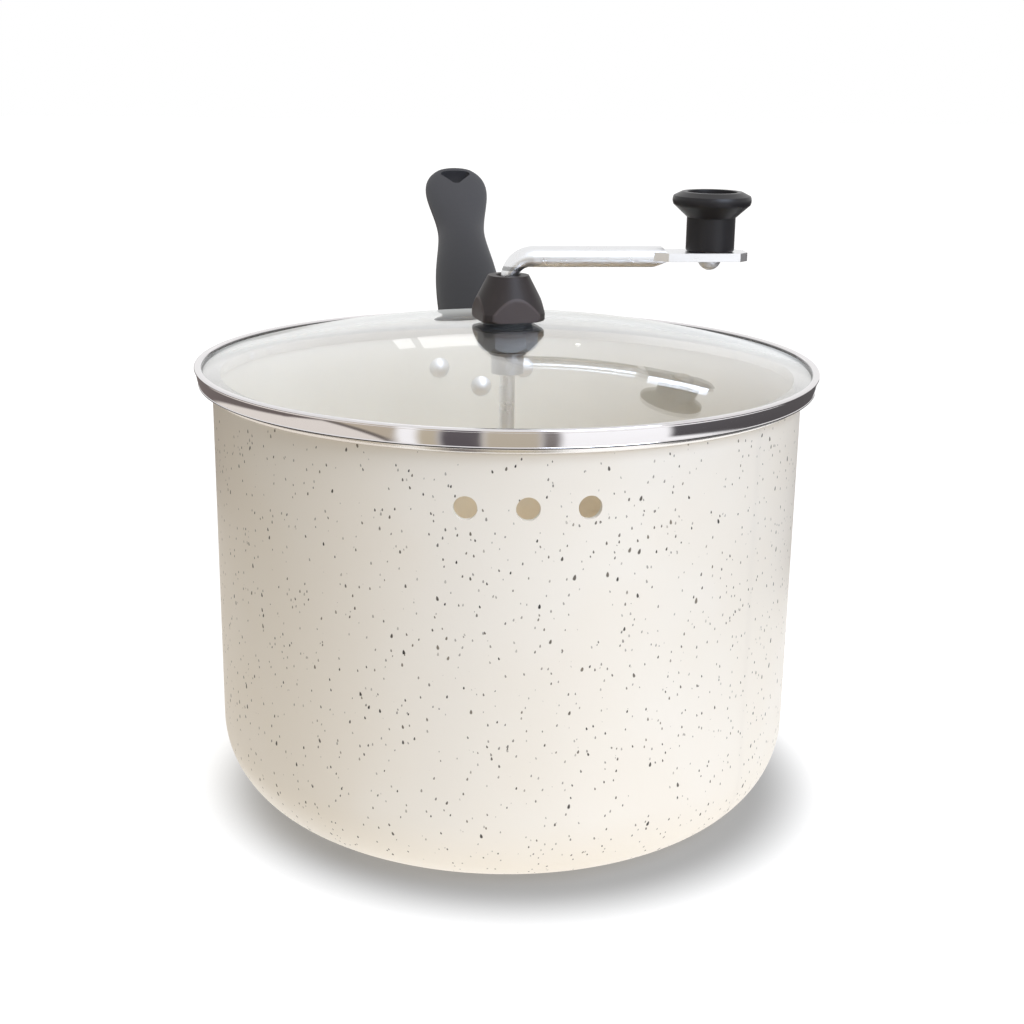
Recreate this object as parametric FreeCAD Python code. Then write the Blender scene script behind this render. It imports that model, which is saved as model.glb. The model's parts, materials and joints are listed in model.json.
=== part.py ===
"""Stovetop popcorn popper: a spun aluminium pot with a domed glass lid and a hand crank.

Millimetres.  The origin is the centre of the pot's underside, +Z is up, the long handle
lies along +Y and the crank arm rests along +X.  One STEP file is written for each node.
"""

import os

import FreeCAD
import Part
from math import acos, asin, atan2, cos, degrees, pi, radians, sin, sqrt

V = FreeCAD.Vector
UP = V(0, 0, 1)

# --- Driving dimensions: pot ------------------------------------------------------------
POT_RADIUS = 112.0            # outside of the straight wall
POT_HEIGHT = 166.5            # underside to the top of the rim
POT_WALL = 2.0
POT_FLOOR = 2.5
POT_CORNER_RADIUS = 33.0      # outside, between floor and wall
RIM_BEAD_RADIUS = 1.7         # rolled bead round the mouth
RIM_BEAD_OFFSET = 0.34        # bead's centre outside the wall's outside
RIM_INNER_ROUND = 1.2         # mouth edge, inside

VENT_COUNT = 3
VENT_RADIUS = 4.0
VENT_DROP = 21.8              # rim top to the vents' centres
VENT_PITCH_DEG = 10.5         # between neighbouring vents
VENT_OFFSET_DEG = -2.4        # the row's middle, from -Y towards +X

# --- Driving dimensions: long handle and its bracket -------------------------------------
HANDLE_SLOPE_DEG = 24.4       # climb away from the pot
HANDLE_DROP = 27.0            # rim top to the handle's axis at the pot wall
HANDLE_STANDOFF = 24.0        # pot wall to the handle's foot, along its axis
HANDLE_LENGTH = 161.0
HANDLE_FOOT_WIDTH = 30.0
HANDLE_SHOULDER_WIDTH = 31.8
HANDLE_WAIST_WIDTH = 24.1
HANDLE_PALM_WIDTH = 32.7
HANDLE_TIP_WIDTH = 21.0       # flat at the very end
HANDLE_FOOT_DEPTH = 19.0
HANDLE_WAIST_DEPTH = 15.5
HANDLE_PALM_DEPTH = 12.0
HANDLE_TIP_DEPTH = 7.0
HANDLE_NOSE_WIDTH = 29.7
HANDLE_SHOULDER_AT = 45.0     # from the foot
HANDLE_WAIST_BACK = 54.0      # these three are measured back from the tip
HANDLE_PALM_BACK = 16.0
HANDLE_NOSE_BACK = 6.0

EYE_WIDTH = 19.5              # hanging eye: a rounded triangle, its point towards the pot
EYE_LENGTH = 15.5
EYE_CORNER_RADIUS = 2.4
EYE_RIM = 2.8                 # handle left beyond the eye

PLATE_WIDTH = 54.0            # bracket's riveted plate
PLATE_HEIGHT = 30.0
PLATE_THICKNESS = 3.0
PLATE_CORNER = 7.0
NECK_WIDTH = 18.0
NECK_DEPTH = 11.0
TANG_WIDTH = 14.0
TANG_DEPTH = 7.0
TANG_LENGTH = 34.0
TANG_FIT = 0.15               # each side, in the handle's socket

RIVET_RADIUS = 2.5
RIVET_DISTANCE = 39.2         # round the wall, between the two upper rivets' centres
RIVET_RISE = 9.0              # upper rivets over the handle's axis
RIVET_SIDE_DEG = 90.0         # the handle's side of the pot, from +X towards +Y
RIVET_HEAD_RADIUS = 4.7
RIVET_HEAD_HEIGHT = 2.4

GUARD_SHEET = 0.8             # flame guard
GUARD_LENGTH = 15.0
GUARD_MOUTH_WIDTH = 25.0
GUARD_MOUTH_DEPTH = 15.5

SCREW_RADIUS = 2.5            # handle screw, from below into the tang
SCREW_HEAD_RADIUS = 4.6
SCREW_HEAD_HEIGHT = 2.6
SCREW_AT = 19.0               # from the handle's foot
SCREW_HEAD_SINK = 1.2         # head below the handle's skin
SCREW_SLOT_WIDTH = 1.2
SCREW_SLOT_DEPTH = 1.2
SCREW_TIP_GAP = 1.5           # screw tip below the tang's top

# --- Driving dimensions: lid ---------------------------------------------------------------
LID_SEAT_GAP = 0.3            # rim bead to the band's underside
BAND_OVERHANG = 6.5           # band's outside beyond the pot's wall
BAND_SHEET = 0.7
BAND_ROLL = 0.45              # radius of the bottom roll
BAND_CROWN_ROLL = 0.65        # radius of the top outer roll
BAND_WALL_SINK = 0.55         # wall's top inside the top roll
BAND_FOOT_INSET = 1.3         # bottom roll inside the top roll
BAND_WALL_BOW = 0.15          # how far the wall bulges between the rolls
BAND_HANG = 1.1               # wall's foot below the seat on the pot's rim
BAND_LIP = 2.8                # how far the rolled lip laps over the glass
BAND_LIP_HEIGHT = 1.5         # lip's top over the glass
BAND_LIP_ROLL = 1.0           # radius of the lip's inner edge
SKIRT_DEPTH = 3.0             # part that drops inside the pot
SKIRT_CLEARANCE = 0.8
GLASS_THICKNESS = 3.0
GLASS_RISE = 16.2             # dome height over its edge
GLASS_EDGE_INSET = 1.3        # band's outside to the glass edge

# --- Driving dimensions: lid knob and the bush through it ----------------------------------
GASKET_THICKNESS = 1.5
GASKET_FIT = 0.1              # kept free between a gasket and the glass
TOP_GASKET_RADIUS = 9.5
LOWER_GASKET_RADIUS = 13.5
KNOB_HEIGHT = 16.6
KNOB_BASE_RADIUS = 15.0
KNOB_TOP_RADIUS = 7.8
KNOB_SKIRT = 3.0              # upright part of the base
KNOB_FLATS = 4
KNOB_FLAT_DISTANCE = 12.15    # axis to each flat
KNOB_TURN_DEG = 9.5           # where the flats point
KNOB_HOLE_CLEARANCE = 0.3
KNOB_DISH_DEPTH = 2.5         # funnel where the shaft comes out
KNOB_DISH_RADIUS = 4.9
KNOB_BOTTOM_BEVEL = 0.8
BUSH_WALL = 1.7
BUSH_IN_KNOB = 11.0
GLASS_HOLE_CLEARANCE = 0.4
WASHER_RADIUS = 12.0
WASHER_THICKNESS = 1.2
NUT_ACROSS_FLATS = 20.0
NUT_THICKNESS = 5.9
BUSH_BELOW_NUT = 0.8

# --- Driving dimensions: crank ---------------------------------------------------------------
SHAFT_RADIUS = 3.0
RUNNING_CLEARANCE = 0.05      # radial, shaft in bush and rivet in grip
ARM_RADIUS = 4.0
ARM_RISE = 6.9                # lid knob's top to the arm's centre line
BEND_RADIUS = 9.0
CRANK_REACH = 77.3            # shaft axis to grip axis
TIP_WIDTH = 15.0              # flattened end of the arm
TIP_THICKNESS = 3.2
TIP_RISE = 0.4                # middle of the flat above the arm's centre line
TIP_OVERHANG = 13.8           # grip axis to the end of the arm
TIP_CHAMFER = 3.5             # end corners of the flat, cut at 45 degrees
TIP_FLAT_START = 17.3         # grip axis back to where the flat begins
TIP_TAPER = 5.0               # length over which the round bar is pressed flat

THRUST_WASHER_RADIUS = 7.0
THRUST_WASHER_THICKNESS = 1.0
AXIAL_GAP = 0.2
COLLAR_RADIUS = 6.2
COLLAR_HEIGHT = 7.0
COLLAR_SCREW_RADIUS = 1.5
COLLAR_SCREW_PROUD = 0.4

# --- Driving dimensions: stirrer -------------------------------------------------------------
STIRRER_FLOOR_GAP = 1.0
HUB_RADIUS = 8.0
HUB_HEIGHT = 20.0
HUB_FOOT = 2.0                # metal under the shaft's end
HUB_ROUND = 1.0
BLADE_HEIGHT = 12.0
BLADE_THICKNESS = 1.8
BLADE_REACH = 74.0
BLADE_BOW = 9.0               # how far the blade bows from straight
BLADE_ROOT = 5.0              # from the axis, inside the hub
HUB_PIN_RADIUS = 1.25
HUB_PIN_DROP = 4.0            # hub's top to the pin
HUB_PIN_PROUD = 0.5

# --- Driving dimensions: grip ----------------------------------------------------------------
GRIP_HEIGHT = 22.3
GRIP_NECK_RADIUS = 9.25
GRIP_FLANGE_RADIUS = 14.95
GRIP_NECK_HEIGHT = 12.7
GRIP_CONE_HEIGHT = 4.8
GRIP_RIM_HEIGHT = 3.3         # upright edge of the flange, rounded
GRIP_BEVEL_WIDTH = 3.4
GRIP_DISH_RADIUS = 9.5
GRIP_DISH_DEPTH = 7.4
GRIP_FOOT_ROUND = 0.8
GRIP_GAP = 0.2                # grip above the arm's flat
GRIP_RIVET_RADIUS = 2.5
GRIP_RIVET_HEAD_RADIUS = 4.45
GRIP_RIVET_HEAD_HEIGHT = 3.9
GRIP_RIVET_PEEN_RADIUS = 3.9
GRIP_RIVET_PEEN_HEIGHT = 1.6
GRIP_WASHER_RADIUS = 6.0
GRIP_WASHER_THICKNESS = 1.0

# --- Derived heights and radii -----------------------------------------------------------------
POT_INNER_RADIUS = POT_RADIUS - POT_WALL
SKIRT_RADIUS = POT_INNER_RADIUS - SKIRT_CLEARANCE
BAND_RADIUS = POT_RADIUS + BAND_OVERHANG
BAND_BOTTOM = POT_HEIGHT + LID_SEAT_GAP
GLASS_RADIUS = BAND_RADIUS - GLASS_EDGE_INSET
DOME_RADIUS = (GLASS_RADIUS ** 2 + GLASS_RISE ** 2) / (2 * GLASS_RISE)
GLASS_UNDER_EDGE = BAND_BOTTOM + BAND_SHEET


def dome_drop(radius_from_axis, sphere_radius):
    """How far a dome of this sphere radius lies below its crown at a distance from the axis."""
    return sphere_radius - sqrt(sphere_radius ** 2 - radius_from_axis ** 2)


DOME_INNER_RADIUS = DOME_RADIUS - GLASS_THICKNESS
GLASS_UNDER_CROWN = GLASS_UNDER_EDGE + dome_drop(GLASS_RADIUS, DOME_INNER_RADIUS)
GLASS_CROWN = GLASS_UNDER_CROWN + GLASS_THICKNESS

BUSH_BORE = SHAFT_RADIUS + RUNNING_CLEARANCE
BUSH_RADIUS = BUSH_BORE + BUSH_WALL
KNOB_BOTTOM = GLASS_CROWN + GASKET_THICKNESS
KNOB_TOP = KNOB_BOTTOM + KNOB_HEIGHT
LOWER_GASKET_BOTTOM = GLASS_UNDER_CROWN - GASKET_THICKNESS
WASHER_BOTTOM = LOWER_GASKET_BOTTOM - WASHER_THICKNESS
NUT_BOTTOM = WASHER_BOTTOM - NUT_THICKNESS
BUSH_BOTTOM = NUT_BOTTOM - BUSH_BELOW_NUT
THRUST_WASHER_TOP = BUSH_BOTTOM - AXIAL_GAP
COLLAR_TOP = THRUST_WASHER_TOP - THRUST_WASHER_THICKNESS
COLLAR_BOTTOM = COLLAR_TOP - COLLAR_HEIGHT

ARM_CENTRE = KNOB_TOP + ARM_RISE
BEND_BOTTOM = ARM_CENTRE - BEND_RADIUS
TIP_BOTTOM = ARM_CENTRE + TIP_RISE - TIP_THICKNESS / 2
TIP_TOP = TIP_BOTTOM + TIP_THICKNESS
GRIP_BOTTOM = TIP_TOP + GRIP_GAP
GRIP_TOP = GRIP_BOTTOM + GRIP_HEIGHT
GRIP_DISH_FLOOR = GRIP_TOP - GRIP_DISH_DEPTH

HUB_BOTTOM = POT_FLOOR + STIRRER_FLOOR_GAP
HUB_TOP = HUB_BOTTOM + HUB_HEIGHT
SHAFT_BOTTOM = HUB_BOTTOM + HUB_FOOT

HANDLE_ROOT = V(0, POT_RADIUS, POT_HEIGHT - HANDLE_DROP)
SLOPE = radians(HANDLE_SLOPE_DEG)
ALONG = V(0, cos(SLOPE), sin(SLOPE))      # away from the pot, along the handle
ACROSS = V(1, 0, 0)
OVER = V(0, -sin(SLOPE), cos(SLOPE))      # square to the handle, upwards
HANDLE_SPINE = HANDLE_FOOT_DEPTH / 2      # the handle's straight top line, over its axis


# --- Shape helpers --------------------------------------------------------------------------
def outline_wire(points, place):
    """Closed wire through points; a step that is a pair of points is an arc by middle and end."""
    edges = []
    here = points[0]
    for step in points[1:]:
        if isinstance(step[0], tuple):
            middle, end = step
            edges.append(Part.Arc(place(here), place(middle), place(end)).toShape())
        else:
            end = step
            edges.append(Part.LineSegment(place(here), place(end)).toShape())
        here = end
    if here != points[0]:
        edges.append(Part.LineSegment(place(here), place(points[0])).toShape())
    return Part.Wire(edges)


def turned(points):
    """Solid of revolution about Z from a closed (radius, height) outline."""
    wire = outline_wire(points, lambda p: V(p[0], 0, p[1]))
    return Part.Face(wire).revolve(V(0, 0, 0), UP, 360)


def quarter_mid(centre, radius, angle_deg):
    """Point on a circle in an outline, used as the middle of an arc."""
    return (centre[0] + radius * cos(radians(angle_deg)),
            centre[1] + radius * sin(radians(angle_deg)))


def rounded_rectangle(width, height, corner):
    """Outline of a rectangle about the origin with rounded corners."""
    x, y = width / 2, height / 2
    in_x, in_y = x - corner, y - corner
    return [
        (x, -in_y), (x, in_y),
        (quarter_mid((in_x, in_y), corner, 45), (in_x, y)), (-in_x, y),
        (quarter_mid((-in_x, in_y), corner, 135), (-x, in_y)), (-x, -in_y),
        (quarter_mid((-in_x, -in_y), corner, 225), (-in_x, -y)), (in_x, -y),
        (quarter_mid((in_x, -in_y), corner, 315), (x, -in_y)),
    ]


def cylinder(radius, height, base=V(0, 0, 0), axis=UP):
    return Part.makeCylinder(radius, height, base, axis)


def ring(outer, inner, bottom, height):
    return cylinder(outer, height, V(0, 0, bottom)).cut(cylinder(inner, height, V(0, 0, bottom)))


def at_handle(along, over=0.0, across=0.0):
    """Point given by distances along, over and across the handle's axis from the pot wall."""
    return HANDLE_ROOT + ALONG * along + OVER * over + ACROSS * across


def handle_block(width, depth, start, length):
    """Rectangular bar centred on the handle's axis."""
    corners = [at_handle(start, over, across) for across, over in
               ((-width / 2, -depth / 2), (width / 2, -depth / 2),
                (width / 2, depth / 2), (-width / 2, depth / 2))]
    face = Part.Face(Part.makePolygon(corners + [corners[0]]))
    return face.extrude(ALONG * length)


def handle_oval(width, depth, along, centre_over):
    """Elliptical wire square to the handle's axis."""
    centre = at_handle(along, centre_over)
    ellipse = Part.Ellipse(centre + ACROSS * (width / 2), centre + OVER * (depth / 2), centre)
    return Part.Wire(ellipse.toShape())


def one_solid(shape):
    """The single solid inside a boolean result."""
    return shape.Solids[0] if len(shape.Solids) == 1 else shape


# --- Pot ---------------------------------------------------------------------------------------
def vent_angles():
    middle = (VENT_COUNT - 1) / 2
    return [VENT_OFFSET_DEG + (k - middle) * VENT_PITCH_DEG for k in range(VENT_COUNT)]


def radial_pin(radius, angle_deg, height, start, length):
    """Cylinder pointing outwards from the pot's axis; the angle is from +X."""
    out = V(cos(radians(angle_deg)), sin(radians(angle_deg)), 0)
    return cylinder(radius, length, out * start + UP * height, out)


def rivet_spots():
    """(angle, height) of the two rivets that go right through the wall and the bracket's plate."""
    half = degrees(RIVET_DISTANCE / 2 / POT_RADIUS)
    return [(RIVET_SIDE_DEG + way * half, HANDLE_ROOT.z + RIVET_RISE) for way in (-1, 1)]


def stud_spot():
    """(angle, height) of the stud that runs into the bracket's neck."""
    return (RIVET_SIDE_DEG, HANDLE_ROOT.z)


def pot_shell():
    corner = (POT_RADIUS - POT_CORNER_RADIUS, POT_CORNER_RADIUS)
    inner_round = max(POT_CORNER_RADIUS - POT_WALL, POT_WALL)
    inner_corner = (POT_INNER_RADIUS - inner_round, POT_FLOOR + inner_round)
    bead = (POT_RADIUS + RIM_BEAD_OFFSET, POT_HEIGHT - RIM_BEAD_RADIUS)
    mouth = (POT_INNER_RADIUS + RIM_INNER_ROUND, POT_HEIGHT - RIM_INNER_ROUND)
    shell = turned([
        (0, 0),
        (corner[0], 0),
        (quarter_mid(corner, POT_CORNER_RADIUS, -45), (POT_RADIUS, corner[1])),
        (POT_RADIUS, bead[1] - RIM_BEAD_RADIUS),
        (bead[0], bead[1] - RIM_BEAD_RADIUS),
        ((bead[0] + RIM_BEAD_RADIUS, bead[1]), (bead[0], POT_HEIGHT)),
        (mouth[0], POT_HEIGHT),
        (quarter_mid(mouth, RIM_INNER_ROUND, 135), (POT_INNER_RADIUS, mouth[1])),
        (POT_INNER_RADIUS, inner_corner[1]),
        (quarter_mid(inner_corner, inner_round, -45), (inner_corner[0], POT_FLOOR)),
        (0, POT_FLOOR),
    ])
    for angle in vent_angles():
        shell = shell.cut(radial_pin(VENT_RADIUS, angle - 90, POT_HEIGHT - VENT_DROP,
                                     POT_INNER_RADIUS - POT_WALL, 3 * POT_WALL))
    for angle, height in rivet_spots() + [stud_spot()]:
        shell = shell.cut(radial_pin(RIVET_RADIUS, angle, height,
                                     POT_INNER_RADIUS - POT_WALL, 3 * POT_WALL))
    return one_solid(shell)


# --- Handle and bracket -------------------------------------------------------------------------
def handle_bracket():
    plate = ring(POT_RADIUS + PLATE_THICKNESS, POT_RADIUS,
                 HANDLE_ROOT.z - PLATE_HEIGHT / 2, PLATE_HEIGHT)
    window = outline_wire(rounded_rectangle(PLATE_WIDTH, PLATE_HEIGHT, PLATE_CORNER),
                          lambda p: V(p[0], 0, HANDLE_ROOT.z + p[1]))
    plate = plate.common(Part.Face(window).extrude(V(0, 2 * POT_RADIUS, 0)))
    neck_start = -2 * PLATE_THICKNESS
    neck = Part.Face(handle_oval(NECK_WIDTH, NECK_DEPTH, neck_start, 0)).extrude(
        ALONG * (HANDLE_STANDOFF - GUARD_SHEET - neck_start))
    tang = handle_block(TANG_WIDTH, TANG_DEPTH, 0, HANDLE_STANDOFF + TANG_LENGTH)
    body = plate.fuse(neck).fuse(tang)
    body = body.cut(cylinder(POT_RADIUS, 2 * POT_HEIGHT))
    for angle, height in rivet_spots():
        body = body.cut(radial_pin(RIVET_RADIUS, angle, height, POT_RADIUS - POT_WALL,
                                   PLATE_THICKNESS + 2 * POT_WALL))
    body = body.cut(bracket_stud())
    body = body.cut(handle_screw_shank())
    return one_solid(body.removeSplitter())


def inside_head(angle, height):
    """Domed head on the pot's inner wall."""
    out = V(cos(radians(angle)), sin(radians(angle)), 0)
    ball = (RIVET_HEAD_RADIUS ** 2 + RIVET_HEAD_HEIGHT ** 2) / (2 * RIVET_HEAD_HEIGHT)
    centre = out * (POT_INNER_RADIUS - RIVET_HEAD_HEIGHT + ball) + UP * height
    core = radial_pin(RIVET_HEAD_RADIUS, angle, height, POT_INNER_RADIUS - 2 * ball, 3 * ball)
    return Part.makeSphere(ball, centre).common(core).common(cylinder(POT_INNER_RADIUS, POT_HEIGHT))


def outside_head(angle, height):
    """Domed head on the bracket's plate."""
    out = V(cos(radians(angle)), sin(radians(angle)), 0)
    ball = (RIVET_HEAD_RADIUS ** 2 + RIVET_HEAD_HEIGHT ** 2) / (2 * RIVET_HEAD_HEIGHT)
    seat = POT_RADIUS + PLATE_THICKNESS
    centre = out * (seat + RIVET_HEAD_HEIGHT - ball) + UP * height
    core = radial_pin(RIVET_HEAD_RADIUS, angle, height, POT_RADIUS, 3 * ball)
    return Part.makeSphere(ball, centre).common(core).cut(cylinder(seat, POT_HEIGHT))


def bracket_rivets():
    """Two rivets with a domed head inside the pot and another outside the bracket."""
    rivets = []
    for angle, height in rivet_spots():
        shank = radial_pin(RIVET_RADIUS, angle, height, POT_INNER_RADIUS - RIVET_HEAD_HEIGHT / 2,
                           POT_WALL + PLATE_THICKNESS + RIVET_HEAD_HEIGHT)
        rivets.append(one_solid(shank.fuse(inside_head(angle, height))
                                .fuse(outside_head(angle, height)).removeSplitter()))
    return Part.makeCompound(rivets)


def bracket_stud():
    """Domed stud driven from inside the pot into the root of the bracket's neck."""
    angle, height = stud_spot()
    shank = radial_pin(RIVET_RADIUS, angle, height, POT_INNER_RADIUS - RIVET_HEAD_HEIGHT / 2,
                       POT_WALL + 2 * PLATE_THICKNESS + RIVET_HEAD_HEIGHT / 2)
    return one_solid(shank.fuse(inside_head(angle, height)).removeSplitter())


def handle_stations():
    """(distance from the foot, width, depth) of the handle's oval sections."""
    shoulder = HANDLE_SHOULDER_AT
    waist, palm, nose = [HANDLE_LENGTH - back for back in
                         (HANDLE_WAIST_BACK, HANDLE_PALM_BACK, HANDLE_NOSE_BACK)]
    return [
        (0, HANDLE_FOOT_WIDTH, HANDLE_FOOT_DEPTH),
        (shoulder / 2, (HANDLE_FOOT_WIDTH + HANDLE_SHOULDER_WIDTH) / 2, HANDLE_FOOT_DEPTH),
        (shoulder, HANDLE_SHOULDER_WIDTH, HANDLE_FOOT_DEPTH),
        ((shoulder + waist) / 2, (HANDLE_SHOULDER_WIDTH * 2 + HANDLE_WAIST_WIDTH) / 3,
         (HANDLE_FOOT_DEPTH + HANDLE_WAIST_DEPTH) / 2),
        (waist, HANDLE_WAIST_WIDTH, HANDLE_WAIST_DEPTH),
        ((waist + palm) / 2, (HANDLE_WAIST_WIDTH + HANDLE_PALM_WIDTH) / 2,
         (HANDLE_WAIST_DEPTH + HANDLE_PALM_DEPTH) / 2),
        (palm, HANDLE_PALM_WIDTH, HANDLE_PALM_DEPTH),
        (nose, HANDLE_NOSE_WIDTH, (HANDLE_PALM_DEPTH + HANDLE_TIP_DEPTH) / 2),
        (HANDLE_LENGTH, HANDLE_TIP_WIDTH, HANDLE_TIP_DEPTH),
    ]


def eye_prism():
    """The hanging eye's rounded triangle, right through the handle."""
    base_at = HANDLE_STANDOFF + HANDLE_LENGTH - EYE_RIM
    point_at = base_at - EYE_LENGTH
    half = EYE_WIDTH / 2
    corners = [at_handle(point_at, -HANDLE_FOOT_DEPTH), at_handle(base_at, -HANDLE_FOOT_DEPTH, half),
               at_handle(base_at, -HANDLE_FOOT_DEPTH, -half)]
    prism = Part.Face(Part.makePolygon(corners + [corners[0]])).extrude(OVER * 2 * HANDLE_FOOT_DEPTH)
    upright = [edge for edge in prism.Edges
               if abs(abs((edge.Vertexes[1].Point - edge.Vertexes[0].Point).normalize().dot(OVER)) - 1)
               < 1e-6]
    return prism.makeFillet(EYE_CORNER_RADIUS, upright)


def handle_screw_axis():
    """Bottom of the handle's skin below the screw, and the direction of the screw."""
    top_line = HANDLE_SPINE
    return at_handle(HANDLE_STANDOFF + SCREW_AT, top_line - HANDLE_FOOT_DEPTH + SCREW_HEAD_SINK)


def handle_screw_shank():
    start = handle_screw_axis()
    reach = (TANG_DEPTH / 2 - SCREW_TIP_GAP) - (start - at_handle(HANDLE_STANDOFF + SCREW_AT)).dot(OVER)
    return cylinder(SCREW_RADIUS, reach, start, OVER)


def handle_screw():
    start = handle_screw_axis()
    head = cylinder(SCREW_HEAD_RADIUS, SCREW_HEAD_HEIGHT, start, OVER)
    slot = Part.makeBox(SCREW_SLOT_WIDTH, 4 * SCREW_HEAD_RADIUS, SCREW_SLOT_DEPTH)
    slot.Placement = FreeCAD.Placement(start - ACROSS * (SCREW_SLOT_WIDTH / 2)
                                       - ALONG * (2 * SCREW_HEAD_RADIUS),
                                       FreeCAD.Rotation(ACROSS, ALONG, OVER, "ZXY"))
    return one_solid(handle_screw_shank().fuse(head).cut(slot).removeSplitter())


def long_handle():
    sections = [handle_oval(width, depth, HANDLE_STANDOFF + along, HANDLE_SPINE - depth / 2)
                for along, width, depth in handle_stations()]
    body = Part.makeLoft(sections, True, False)
    body = body.cut(eye_prism())
    body = body.cut(handle_block(TANG_WIDTH + 2 * TANG_FIT, TANG_DEPTH + 2 * TANG_FIT,
                                 HANDLE_STANDOFF - GUARD_SHEET, TANG_LENGTH + TANG_FIT + GUARD_SHEET))
    body = body.cut(handle_screw_shank())
    start = handle_screw_axis()
    pocket = cylinder(SCREW_HEAD_RADIUS + TANG_FIT, HANDLE_FOOT_DEPTH,
                      start + OVER * (SCREW_HEAD_HEIGHT - HANDLE_FOOT_DEPTH), OVER)
    return one_solid(body.cut(pocket))


def flame_guard():
    """Oval cup round the bracket's neck, its floor clamped against the handle's foot."""
    foot = HANDLE_STANDOFF
    mouth = foot - GUARD_LENGTH
    wall = 2 * GUARD_SHEET
    outer = Part.makeLoft([handle_oval(GUARD_MOUTH_WIDTH, GUARD_MOUTH_DEPTH, mouth, 0),
                           handle_oval(HANDLE_FOOT_WIDTH, HANDLE_FOOT_DEPTH, foot, 0)], True, True)
    inner = Part.makeLoft([
        handle_oval(GUARD_MOUTH_WIDTH - wall, GUARD_MOUTH_DEPTH - wall, mouth, 0),
        handle_oval(HANDLE_FOOT_WIDTH - wall, HANDLE_FOOT_DEPTH - wall, foot - GUARD_SHEET, 0)],
        True, True)
    cup = outer.cut(inner)
    return one_solid(cup.cut(handle_block(TANG_WIDTH, TANG_DEPTH, 0, foot + GUARD_SHEET)))


# --- Lid ------------------------------------------------------------------------------------------
def lid_glass():
    mid = GLASS_RADIUS / 2
    hole = BUSH_RADIUS + GLASS_HOLE_CLEARANCE

    def top(radius):
        return GLASS_CROWN - dome_drop(radius, DOME_RADIUS)

    def under(radius):
        return GLASS_UNDER_CROWN - dome_drop(radius, DOME_INNER_RADIUS)

    return turned([
        (hole, under(hole)),
        ((mid, under(mid)), (GLASS_RADIUS, under(GLASS_RADIUS))),
        (GLASS_RADIUS, top(GLASS_RADIUS)),
        ((mid, top(mid)), (hole, top(hole))),
    ])


def lid_rim_band():
    """Stainless channel crimped round the glass, with the skirt that centres it in the pot."""
    glass = lid_glass()
    lip = BAND_RADIUS - BAND_LIP

    def in_glass(radius):
        return GLASS_CROWN - dome_drop(radius, DOME_RADIUS) - GLASS_THICKNESS / 2

    top = in_glass(lip) + GLASS_THICKNESS / 2 + BAND_LIP_HEIGHT
    foot = BAND_BOTTOM - BAND_HANG
    low_roll = (BAND_RADIUS - BAND_FOOT_INSET - BAND_ROLL, foot + BAND_ROLL)
    crown = (BAND_RADIUS - BAND_CROWN_ROLL, top - BAND_CROWN_ROLL)
    lip_roll = (lip + BAND_LIP_ROLL, top - BAND_LIP_ROLL)
    low_turn = 50
    crown_turn = degrees(acos((BAND_CROWN_ROLL - BAND_WALL_SINK) / BAND_CROWN_ROLL))
    wall_low = quarter_mid(low_roll, BAND_ROLL, low_turn)
    wall_high = quarter_mid(crown, BAND_CROWN_ROLL, -crown_turn)
    wall_middle = ((wall_low[0] + wall_high[0]) / 2 + BAND_WALL_BOW, (wall_low[1] + wall_high[1]) / 2)
    inner = SKIRT_RADIUS - BAND_SHEET
    outline = [
        (inner, BAND_BOTTOM - SKIRT_DEPTH),
        (SKIRT_RADIUS, BAND_BOTTOM - SKIRT_DEPTH),
        (SKIRT_RADIUS, BAND_BOTTOM),
        (low_roll[0] - BAND_ROLL, BAND_BOTTOM),
        (low_roll[0] - BAND_ROLL, low_roll[1]),
        (quarter_mid(low_roll, BAND_ROLL, low_turn / 2 - 90), wall_low),
        (wall_middle, wall_high),
        (quarter_mid(crown, BAND_CROWN_ROLL, (90 - crown_turn) / 2), (crown[0], top)),
        (lip_roll[0], top),
        (quarter_mid(lip_roll, BAND_LIP_ROLL, 135), (lip, lip_roll[1])),
        (lip, in_glass(lip)),
        (inner, in_glass(inner)),
    ]
    return one_solid(turned(outline).cut(glass))


def lid_knob():
    dish_bottom = KNOB_TOP - KNOB_DISH_DEPTH
    hole = SHAFT_RADIUS + KNOB_HOLE_CLEARANCE
    socket_top = KNOB_BOTTOM + BUSH_IN_KNOB
    knob = turned([
        (BUSH_RADIUS, KNOB_BOTTOM),
        (KNOB_BASE_RADIUS - KNOB_BOTTOM_BEVEL, KNOB_BOTTOM),
        (KNOB_BASE_RADIUS, KNOB_BOTTOM + KNOB_BOTTOM_BEVEL),
        (KNOB_BASE_RADIUS, KNOB_BOTTOM + KNOB_SKIRT),
        (KNOB_TOP_RADIUS, KNOB_TOP),
        (KNOB_DISH_RADIUS, KNOB_TOP),
        (hole, dish_bottom),
        (hole, socket_top),
        (BUSH_RADIUS, socket_top),
    ])
    for k in range(KNOB_FLATS):
        facing = radians(-90 + KNOB_TURN_DEG + 360 * k / KNOB_FLATS)
        out = V(cos(facing), sin(facing), 0)
        side = V(-sin(facing), cos(facing), 0)
        width, depth = 4 * KNOB_BASE_RADIUS, KNOB_BASE_RADIUS
        corner = out * KNOB_FLAT_DISTANCE - side * (width / 2) + UP * KNOB_BOTTOM
        face = Part.Face(Part.makePolygon([corner, corner + out * depth,
                                           corner + out * depth + side * width,
                                           corner + side * width, corner]))
        knob = knob.cut(face.extrude(UP * KNOB_HEIGHT))
    return one_solid(knob)


def knob_gasket():
    return ring(TOP_GASKET_RADIUS, BUSH_RADIUS, GLASS_CROWN - GASKET_THICKNESS,
                2 * GASKET_THICKNESS).cut(dome_solid(GLASS_CROWN + GASKET_FIT, DOME_RADIUS))


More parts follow.
